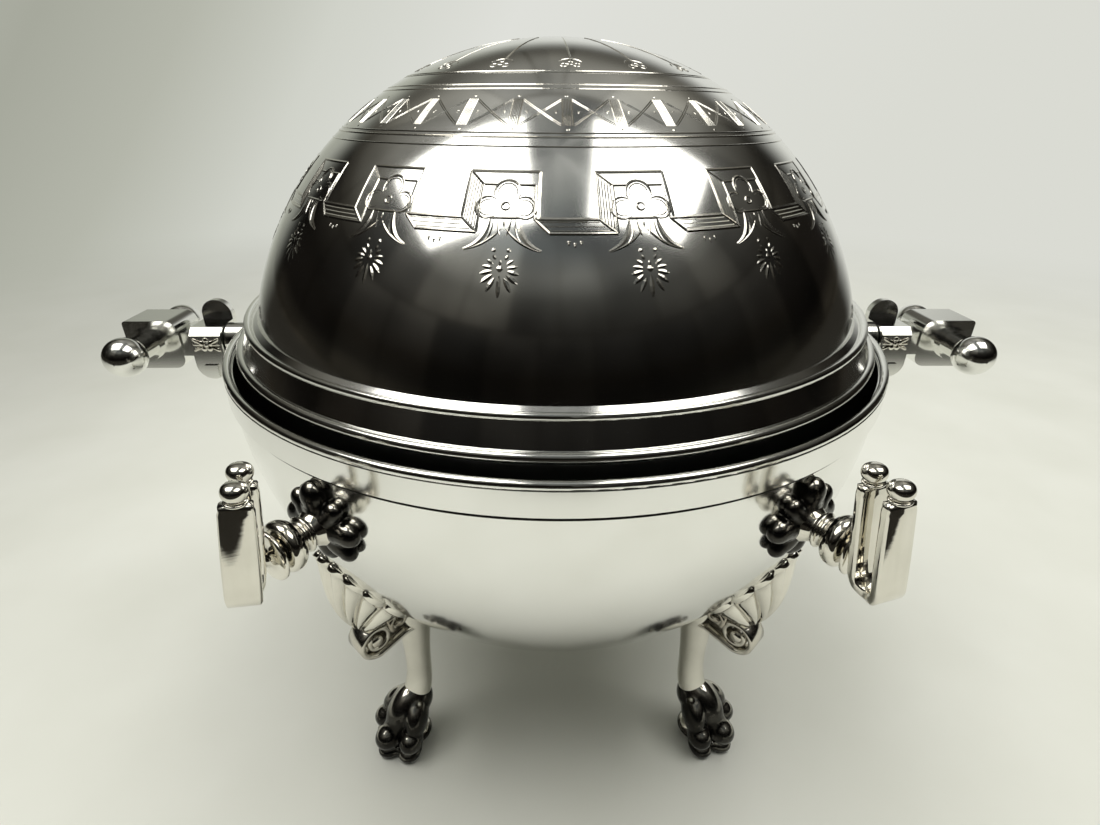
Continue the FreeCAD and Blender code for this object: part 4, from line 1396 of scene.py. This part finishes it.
@dataclass
class KnifeRest:
    """One of the two rests for a butter knife: leaf mount, turned arm and forked strap."""

    azimuth: float = 33.4
    arm_height: float = 88.5
    seat: float = 73.59
    fork_at: tuple = ((46.5, -76.1, 87.8), (47.7, -75.8, 88.2))
    fork_turn: tuple = (10.9, -16.9)
    lean: float = 7.2
    back: float = 3.4
    prong_top: float = 15.2
    prong_middle: float = 2.6
    knob_at: float = 81.6
    bowl_outside: float = 74.2
    bowl_curve: float = 74.0
    leaf_drop: float = 9.5

    def arm_place(self, side: int) -> Placer:
        """Gives the function from the arm's frame, x along the arm, to the dish's frame.

        The arm's frame is turned by the azimuth from the front and lifted to the arm's height.

        Args:
            side: 1 for the right rest, -1 for the left.

        Returns:
            The function.
        """
        s, c = math.sin(math.radians(self.azimuth)), math.cos(math.radians(self.azimuth))

        def there(points: np.ndarray) -> np.ndarray:
            """Moves points of the arm's frame."""
            x, y, z = points[..., 0], points[..., 1], points[..., 2]
            return np.stack([side * (x * s + y * c), -x * c + y * s, z + self.arm_height], -1)

        return there

    def fork_place(self, side: int) -> Placer:
        """Gives the function from the fork's frame, z along the prongs, to the dish's frame.

        The fork is turned about its upright axis, leans inwards over the bowl and a little
        back, and is then carried to its place.

        Args:
            side: 1 for the right rest, -1 for the left.

        Returns:
            The function.
        """
        which = 0 if side > 0 else 1
        leant = turn_about(Axis.X, -self.back) @ turn_about(Axis.Y, -self.lean)
        turn = leant @ turn_about(Axis.Z, self.fork_turn[which])
        base = np.array(self.fork_at[which])

        def there(points: np.ndarray) -> np.ndarray:
            """Moves points of the fork's frame."""
            return (points @ turn.T + base) * np.array([side, 1.0, 1.0])

        return there

    def fork(self) -> Form:
        """Models the bent strap: a chamfered section along a U, widest halfway up each prong.

        Returns:
            The form.
        """
        m, top = self.prong_middle, self.prong_top
        down = np.linspace(top, 0, 24)[:-1]
        bend_by = np.radians(np.linspace(180, 360, 28))
        path = np.concatenate([
            np.stack([0 * down, 0 * down - m, down], -1),
            np.stack([0 * bend_by, m * np.cos(bend_by), m * np.sin(bend_by)], -1),
            np.stack([0 * down, 0 * down + m, down[::-1]], -1),
        ])
        share = np.abs(np.linspace(-1, 1, len(path)))
        waist = 0.22 * np.clip(1 - share / 0.16, 0, 1)
        wide = 0.94 + 0.09 * np.sin(np.pi * share) - waist - 0.06 * (share > 0.97)
        section = np.array([
            (2.45, -0.45), (2.45, 0.45), (2.42, 0.55), (2.22, 0.86), (2.16, 0.9), (-2.16, 0.9),
            (-2.22, 0.86), (-2.42, 0.55), (-2.45, 0.45), (-2.45, -0.45), (-2.42, -0.55),
            (-2.22, -0.86), (-2.16, -0.9), (2.16, -0.9), (2.22, -0.86), (2.42, -0.55),
        ])
        return Form().swept(path, (1, 0, 0), section, np.stack([wide, np.ones(len(path))], -1))

    def finial(self, way: int) -> Form:
        """Turns one prong's finial: a shoulder, a collar, a neck and a flattened ball."""
        profile = [
            (-0.5, 0.9), (0.0, 0.9), (0.05, 1.2), (0.08, 1.6), (0.5, 1.65), (0.58, 1.2), (0.9, 1.0),
            (0.95, 1.3), (1.05, 1.6), (1.6, 1.84), (2.3, 1.84), (2.9, 1.5), (3.25, 0.8), (3.35, 0.0),
        ]
        return Form().turned(profile, (0, way * self.prong_middle, self.prong_top), (0, 0, 1), 40)

    def arm(self) -> Form:
        """Turns the arm: trumpet, bead, cupped knob, flange and pin along the radius.

        Returns:
            The form.
        """
        k = self.knob_at
        profile = [
            (72.6, 5.6), (73.6, 5.3), (74.6, 4.6), (75.8, 3.6), (76.9, 2.9), (77.6, 2.6),
            (77.8, 3.2), (78.3, 3.3), (78.6, 2.7), (k - 2.2, 2.8), (k - 1.8, 3.7), (k - 0.8, 4.5),
            (k + 0.4, 4.6), (k + 1.1, 4.1), (k + 1.4, 3.1), (k + 1.6, 2.1), (k + 2.0, 2.0),
            (k + 2.1, 4.0), (k + 2.3, 4.5), (k + 2.8, 4.5), (k + 3.0, 4.0), (k + 3.1, 1.3),
            (k + 5.6, 1.2), (k + 5.6, 0.0),
        ]
        return Form().turned(profile, (0, 0, 0), (1, 0, 0), 56)

    def leaf(self) -> Form:
        """Models the cast mount: a cluster of rolled lobes and buds round the arm's root.

        Each lobe is a pair of ellipsoids that lie on the bowl, the outer one standing proud as
        a rolled tip would. A centre that is u across and w up lies (u^2 + w^2) / (2 radius)
        nearer the axis, as the bowl's wall does.

        Returns:
            The form.
        """
        tilt = math.degrees(math.asin(self.leaf_drop / self.bowl_outside))
        lean_in = math.radians(tilt)
        eggs = [Egg((self.seat, 0, 0), (2.3, 4.6, 4.6), pitch=tilt)]
        for angle, reach, wide, tip in (
            (0, 6.9, 2.9, 2.4), (46, 6.3, 2.2, 1.8), (-46, 6.3, 2.2, 1.8), (92, 6.9, 2.8, 2.3),
            (-92, 6.9, 2.8, 2.3), (136, 7.4, 2.3, 1.9), (-136, 7.4, 2.3, 1.9), (180, 7.6, 1.9, 1.4),
        ):
            s, c = math.sin(math.radians(angle)), math.cos(math.radians(angle))
            body = (2.0, wide, reach * 0.5)
            rolled_tip = (tip * 0.85, wide * 0.8, tip * 1.1)
            for share, stand, half in ((0.5, 0.6, body), (0.86, 0.7, rolled_tip)):
                u, w = reach * share * s, reach * share * c
                fall = (u * u + w * w) / (2 * self.bowl_curve)
                out = self.seat + stand + w * math.sin(lean_in) - fall
                eggs.append(Egg((out, u, w * math.cos(lean_in)), half, roll=-angle))
        return Form().lobes((self.seat + 0.4, 0, 0), eggs, rows=72, columns=104, crease=20)

    def build(self, material: bpy.types.Material, bright: bpy.types.Material) -> None:
        """Builds both rests and lets them stand for the CAD's own.

        Args:
            material: The finish of the leaf mounts.
            bright: The finish of the forks, arms and finials.
        """
        for side, hand in ((1, "right"), (-1, "left")):
            arm_there, fork_there = self.arm_place(side), self.fork_place(side)
            fork = self.fork().piece(f"rest_fork_{hand}", fork_there, 0.0, 0.1)
            turned = self.arm().piece(f"rest_arm_{hand}", arm_there, 0.0, 0.5)
            # the leaf mount's last number is painted shade on what faces sideways or down
            leaf = self.leaf().piece(f"rest_leaf_{hand}", lambda p: seated(arm_there(p)), 0.12, 1.2, 0.85)
            for made, finish in ((fork, bright), (turned, bright), (leaf, material)):
                settle(made, Body.BOWL, finish)
            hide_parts(f"knife_fork_{hand}")
            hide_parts(f"knife_arm_{hand}")
            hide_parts(f"knife_leaf_{hand}")
            for way, end in ((-1, "front"), (1, "back")):
                ball = self.finial(way).piece(f"rest_finial_{end}_{hand}", fork_there, 0.0, 0.4)
                settle(ball, Body.BOWL, bright)
                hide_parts(f"fork_ball_{end}_{hand}")


# Small trims


@dataclass
class Trims:
    """The dark line under the bowl's band and the chased flowers on the handle brackets."""

    line_radius: float = 74.12
    line_height: float = 97.85
    line_half: float = 0.32
    line_steps: int = 256
    section_points: int = 7
    bracket_middle: float = 85.2
    bracket_face: float = 4.98

    def band_line(self) -> tuple[np.ndarray, np.ndarray]:
        """Runs a fine half-round line round the bowl just under its band.

        Each section point is radius + half cos b out and half sin b up, with b from -100 to
        100 degrees, carried round in even steps.

        Returns:
            Points in metres and the corner numbers of the faces.
        """
        about = np.linspace(0, 2 * np.pi, self.line_steps, endpoint=False)[:, None]
        section = np.radians(np.linspace(-100, 100, self.section_points))[None]
        out = self.line_radius + self.line_half * np.cos(section) + 0 * about
        up = self.line_height + self.line_half * np.sin(section) + 0 * about
        points = np.stack([out * np.cos(about), out * np.sin(about), up], -1).reshape(-1, 3)
        return points * MM, quads(self.line_steps, self.section_points, wrap_rows=True, wrap_columns=True)

    def flower(self) -> Form:
        """Models the low relief: a five-petalled flower between two pairs of leaves.

        Returns:
            The form, whose second axis stands out of the bracket's face.
        """
        eggs = [Egg((0, 0, 0), (0.62, 0.42, 0.62))]
        for number in range(5):
            a = math.radians(90 + 72 * number)
            eggs.append(Egg((1.15 * math.cos(a), 0, 1.15 * math.sin(a)), (0.72, 0.32, 0.72)))
        for side in (-1, 1):
            for up in (-1, 1):
                eggs.append(Egg((side * 2.35, 0, up * 1.05), (1.15, 0.30, 0.5), pitch=-side * up * 34))
            eggs.append(Egg((side * 2.5, 0, 0), (0.9, 0.26, 0.34)))
        return Form().lobes((0, 0, 0), eggs, rows=40, columns=80, crease=18)

    def build(self, dark: bpy.types.Material, material: bpy.types.Material) -> None:
        """Builds the line and the four flowers.

        Args:
            dark: The finish of the line.
            material: The finish of the flowers.
        """
        points, faces = self.band_line()
        # the whole line takes the near black tarnish colour, a dark stripe just under where the band steps
        # out
        edge_line = new_mesh("band_edge_line", points, faces, hollow=np.ones(len(points)))
        settle(edge_line, Body.BOWL, dark)
        for side, hand in ((1, "right"), (-1, "left")):
            for way, end in ((-1, "front"), (1, "back")):
                turn = np.array([side, way, 1.0])
                base = np.array([side * self.bracket_middle, way * self.bracket_face, PIVOT_MM])
                name = f"bracket_flower_{end}_{hand}"
                made = self.flower().piece(name, lambda p: p * turn + base, 0.1, 1.6)
                settle(made, Body.DOME, material)


# The CAD nodes' finishes


@dataclass
class NodeFinishes:
    """Gives each carried-over CAD node the finish of its record slot."""

    finishes: dict = field(default_factory=dict)

    def build(self) -> None:
        """Assigns the materials to the nodes' own material slots."""
        for entry in frame["record"].get("materials", []):
            for name in entry.get("nodes", []):
                node = frame["nodes"][name]
                node.data.materials.clear()
                node.data.materials.append(self.finishes[Slot(entry["slot"])])
                LOG.info("%s takes %s", name, entry["slot"])


# Studio


@dataclass
class Studio:
    """The pale ground, the room that the silver mirrors, three soft lamps and the camera."""

    ground_radius: float = 6.0
    ground_rings: int = 24
    ground_steps: int = 72
    lens: float = 19.5
    eye: tuple = (-4.64, -143.98, 150.60)
    pitch_deg: float = 26.87
    turn: float = 0.025
    roll: float = 0.007
    front_tones: tuple = (
        (0.0, "#2A2823"), (0.09, "#12110F"), (0.2, "#151310"), (0.36, "#262523"), (0.5, "#3D3C39"),
        (0.62, "#545451"), (0.72, "#8A8B88"), (0.82, "#6E7375"), (0.93, "#74797B"), (1.0, "#A3A6A6"),
    )
    rear_tones: tuple = (
        (0.0, "#33302A"), (0.09, "#161412"), (0.3, "#1D1B18"), (0.5, "#3A3833"),
        (0.62, "#6A6964"), (0.74, "#8F8F8B"), (0.88, "#A6A7A5"), (1.0, "#A3A6A6"),
    )
    ground_tones: tuple = (
        (0.0, "#B2B4A9"), (0.1, "#A6A89C"), (0.2, "#B4B6AA"),
        (0.33, "#D0D2C9"), (0.52, "#DFE0DA"), (1.0, "#DADBD3"),
    )

    def ground(self) -> None:
        """Lays the ground: rings of points whose radius grows as the square of the share."""
        rings, steps = self.ground_rings, self.ground_steps
        share = np.linspace(0.02, 1, rings)[:, None]
        angle = np.linspace(0, 2 * np.pi, steps, endpoint=False)[None]
        r = self.ground_radius * share**2
        points = np.stack([r * np.cos(angle), r * np.sin(angle), 0 * r * angle], -1).reshape(-1, 3)
        points = np.concatenate([points, [[0.0, 0.0, 0.0]]])
        faces = [tuple(f) for f in quads(rings, steps, wrap_columns=True).tolist()]
        faces += [(i, (i + 1) % steps, len(points) - 1) for i in range(steps)]
        mesh = bpy.data.meshes.new("floor")
        mesh.from_pydata(points.tolist(), [], faces)
        mesh.update()
        floor = bpy.data.objects.new("floor", mesh)
        bpy.context.scene.collection.objects.link(floor)
        floor.data.materials.append(StudioFloor(tones=self.ground_tones).make())

    def room(self) -> None:
        """Colours the world: a dim room for the metal to mirror, and the ground's tone behind.

        The tone goes by height: dark at eye level, near black just above it, then lighter and
        lighter grey. It is lighter behind the object than in front, and broken into upright
        panels of uneven tone, as in any room. The pale ground's tone shows low down, well behind.
        """
        world = bpy.data.worlds.new("room")
        bpy.context.scene.world = world
        world.use_nodes = True
        tree = world.node_tree
        tree.nodes.clear()
        out = add_node(tree, "ShaderNodeOutputWorld")
        way = add_node(tree, "ShaderNodeTexCoord").outputs["Generated"]
        split = add_node(tree, "ShaderNodeSeparateXYZ", {}, {0: way})
        front = add_node(tree, "ShaderNodeValToRGB", {"stops": self.front_tones}, {0: split.outputs["Z"]})
        rear = add_node(tree, "ShaderNodeValToRGB", {"stops": self.rear_tones}, {0: split.outputs["Z"]})
        side = add_node(
            tree,
            "ShaderNodeMapRange",
            {"interpolation_type": "SMOOTHSTEP", ("From Min",): -0.15, ("From Max",): 0.3},
            {"Value": split.outputs["Y"]},
        )
        tone = add_node(
            tree,
            "ShaderNodeMix",
            {"data_type": "RGBA"},
            {0: side.outputs["Result"], MIX_A: front.outputs["Color"], MIX_B: rear.outputs["Color"]},
        )
        # panels: azimuth across and height up, cut into upright blocks
        depth = add_node(
            tree,
            "ShaderNodeMath",
            {"operation": "MULTIPLY", (1,): -1.0},
            {0: split.outputs["Y"]},
        )
        round_about = add_node(
            tree,
            "ShaderNodeMath",
            {"operation": "ARCTAN2"},
            {0: split.outputs["X"], 1: depth.outputs["Value"]},
        )
        unrolled = add_node(
            tree,
            "ShaderNodeCombineXYZ",
            {},
            {"X": round_about.outputs["Value"], "Y": split.outputs["Z"]},
        )
        panels = add_node(
            tree,
            "ShaderNodeTexBrick",
            {
                "offset": 0.37,
                ("Color1",): linear("#8A8A88"),
                ("Color2",): linear("#F4F1E9"),
                ("Mortar",): linear("#77736A"),
                ("Scale",): 1.0,
                ("Mortar Size",): 0.012,
                ("Mortar Smooth",): 1.0,
                ("Brick Width",): 0.34,
                ("Row Height",): 0.45,
            },
            {"Vector": unrolled.outputs["Vector"]},
        )
        broken = add_node(
            tree,
            "ShaderNodeMix",
            {"data_type": "RGBA", "blend_type": "MULTIPLY", (0,): 1.0},
            {MIX_A: tone.outputs[MIX_RESULT], MIX_B: panels.outputs["Color"]},
        )
        stains = add_node(
            tree,
            "ShaderNodeTexNoise",
            {("Scale",): 2.2, ("Detail",): 2.0, ("Roughness",): 0.5},
            {"Vector": way},
        )
        shade = add_node(
            tree,
            "ShaderNodeMapRange",
            {("From Min",): 0.35, ("From Max",): 0.65, ("To Min",): 0.8, ("To Max",): 1.75},
            {"Value": stains.outputs["Fac"]},
        )
        dim = add_node(
            tree,
            "ShaderNodeVectorMath",
            {"operation": "SCALE"},
            {0: broken.outputs[MIX_RESULT], "Scale": shade.outputs["Result"]},
        )
        back = add_node(
            tree,
            "ShaderNodeMapRange",
            {"interpolation_type": "SMOOTHSTEP", ("From Min",): 0.60, ("From Max",): 0.86},
            {"Value": split.outputs["Y"]},
        )
        low = add_node(
            tree,
            "ShaderNodeMapRange",
            {"interpolation_type": "SMOOTHSTEP", ("From Min",): 0.58, ("From Max",): 0.34},
            {"Value": split.outputs["Z"]},
        )
        sweep = add_node(
            tree,
            "ShaderNodeMath",
            {"operation": "MULTIPLY"},
            {0: back.outputs["Result"], 1: low.outputs["Result"]},
        )
        rays = add_node(tree, "ShaderNodeLightPath")
        seen = add_node(
            tree,
            "ShaderNodeMath",
            {"operation": "MAXIMUM"},
            {0: rays.outputs["Is Camera Ray"], 1: rays.outputs["Is Transmission Ray"]},
        )
        pale = add_node(
            tree,
            "ShaderNodeMath",
            {"operation": "MAXIMUM"},
            {0: sweep.outputs["Value"], 1: seen.outputs["Value"]},
        )
        fall = fall_of_light(tree, way, self.ground_tones)
        colour = add_node(
            tree,
            "ShaderNodeMix",
            {"data_type": "RGBA"},
            {0: pale.outputs["Value"], MIX_A: dim.outputs["Vector"], MIX_B: fall.outputs["Color"]},
        )
        shine = add_node(tree, "ShaderNodeBackground", {}, {"Color": colour.outputs[MIX_RESULT]})
        tree.links.new(shine.outputs["Background"], out.inputs["Surface"])

    def lamp(
        self, name: str, place: tuple, size: tuple, level: float, warmth: str = "#FFFDF6"
    ) -> bpy.types.Object:
        """Hangs one soft lamp over the object, facing straight down.

        The power is level times pi times the lamp's area, so that level is how bright its
        face looks, where 1 is white.

        Args:
            name: The lamp's name.
            place: Its centre in metres.
            size: Its width and depth in metres.
            level: How bright its face looks.
            warmth: Its colour.

        Returns:
            The lamp.
        """
        data = bpy.data.lights.new(name, "AREA")
        data.shape = "RECTANGLE"
        data.size, data.size_y = size
        data.energy = level * math.pi * size[0] * size[1]
        data.color = linear(warmth)[:3]
        made = bpy.data.objects.new(name, data)
        made.location = place
        made.visible_camera = False
        bpy.context.scene.collection.objects.link(made)
        return made

    def camera(self) -> None:
        """Sets the camera where the photograph was taken from."""
        data = bpy.data.cameras.new("camera")
        data.sensor_fit = "HORIZONTAL"
        data.sensor_width = 36.0
        data.lens = self.lens
        data.clip_start = 0.005
        made = bpy.data.objects.new("camera", data)
        made.location = Vector(self.eye) * MM
        made.rotation_mode = "XYZ"
        basis = Euler((math.radians(90 - self.pitch_deg), 0.0, -self.turn), "XYZ").to_matrix()
        spin = Euler((0.0, 0.0, self.roll), "XYZ").to_matrix()
        made.rotation_euler = (basis @ spin).to_euler("XYZ")
        bpy.context.scene.collection.objects.link(made)
        bpy.context.scene.camera = made

    def build(self) -> None:
        """Builds the stage, the lamps and the camera."""
        self.ground()
        self.room()
        self.lamp("soft_lamp_left", place=(-0.44, -0.12, 0.92), size=(0.66, 0.60), level=3.1)
        self.lamp("soft_lamp_right", place=(0.42, -0.13, 0.92), size=(0.56, 0.58), level=2.7)
        # the ceiling lights the ground evenly, and the metal mirrors the room's tone there
        ceiling = self.lamp("soft_ceiling", (0.1, 0.4, 1.5), (2.4, 2.0), level=1.3, warmth="#FFFFFA")
        ceiling.visible_glossy = False
        self.camera()
        LOG.info("studio is set")


def main() -> None:
    """Builds the studio, the finishes and every piece in order."""
    bpy.context.scene.view_settings.view_transform = "Standard"
    Studio().build()
    plate = SilverPlate("silver_plate_polished", rough_low=0.06, rough_high=0.2, veil=0.55)
    finishes = {
        Slot.ENGRAVED: plate.make(),
        Slot.BOWL: SilverPlate(
            "silver_plate_bowl", rough_low=0.06, rough_high=0.18, dent_height_mm=0.014
        ).make(),
        Slot.INNER: SilverPlate(
            "silver_plate_satin", base="#DDD9CE", rough_low=0.24, rough_high=0.42
        ).make(),
        Slot.CAST: SilverPlate(
            "silver_plate_cast", rough_low=0.08, rough_high=0.2, tarnish_share=0.12, cloud_mm=6.0
        ).make(),
        Slot.STEEL: SilverPlate("steel_pin", base="#8F8C86", rough_low=0.3, rough_high=0.5).make(),
    }
    NodeFinishes(finishes).build()
    # the graver's facets are bright and clean, and too narrow to show waves
    bright = SilverPlate(
        "silver_bright_cut", base="#E9E6DE", rough_low=0.12, rough_high=0.24, dent_height_mm=0.0
    ).make()
    LidEngraving().build(bright)
    cast = finishes[Slot.CAST]
    # plain cast parts that a cloth reaches all over keep the sharpest reflections
    smooth_cast = SilverPlate(
        "silver_plate_cast_smooth", rough_low=0.02, rough_high=0.08, tarnish_share=0.05,
        cloud_mm=9.0, dent_height_mm=0.004, veil=0.2,
    ).make()
    # the paws and the leaf mounts have near black patina in their valleys, and painted shade darkens all that
    # faces sideways or down, so only the tops stay bright silver
    oxidised_and_shaded = SilverPlate(
        "silver_plate_oxidised_and_shaded", base="#CFCBC1", tarnish="#1F1D19", rough_low=0.05, rough_high=0.16,
        tarnish_share=0.2, cloud_mm=4.0, veil=0.3,
    ).make()
    PawFoot().build(oxidised_and_shaded, cast, smooth_cast)
    KnifeRest().build(oxidised_and_shaded, smooth_cast)
    Trims().build(oxidised_and_shaded, cast)


if __name__ == "__main__":
    main()
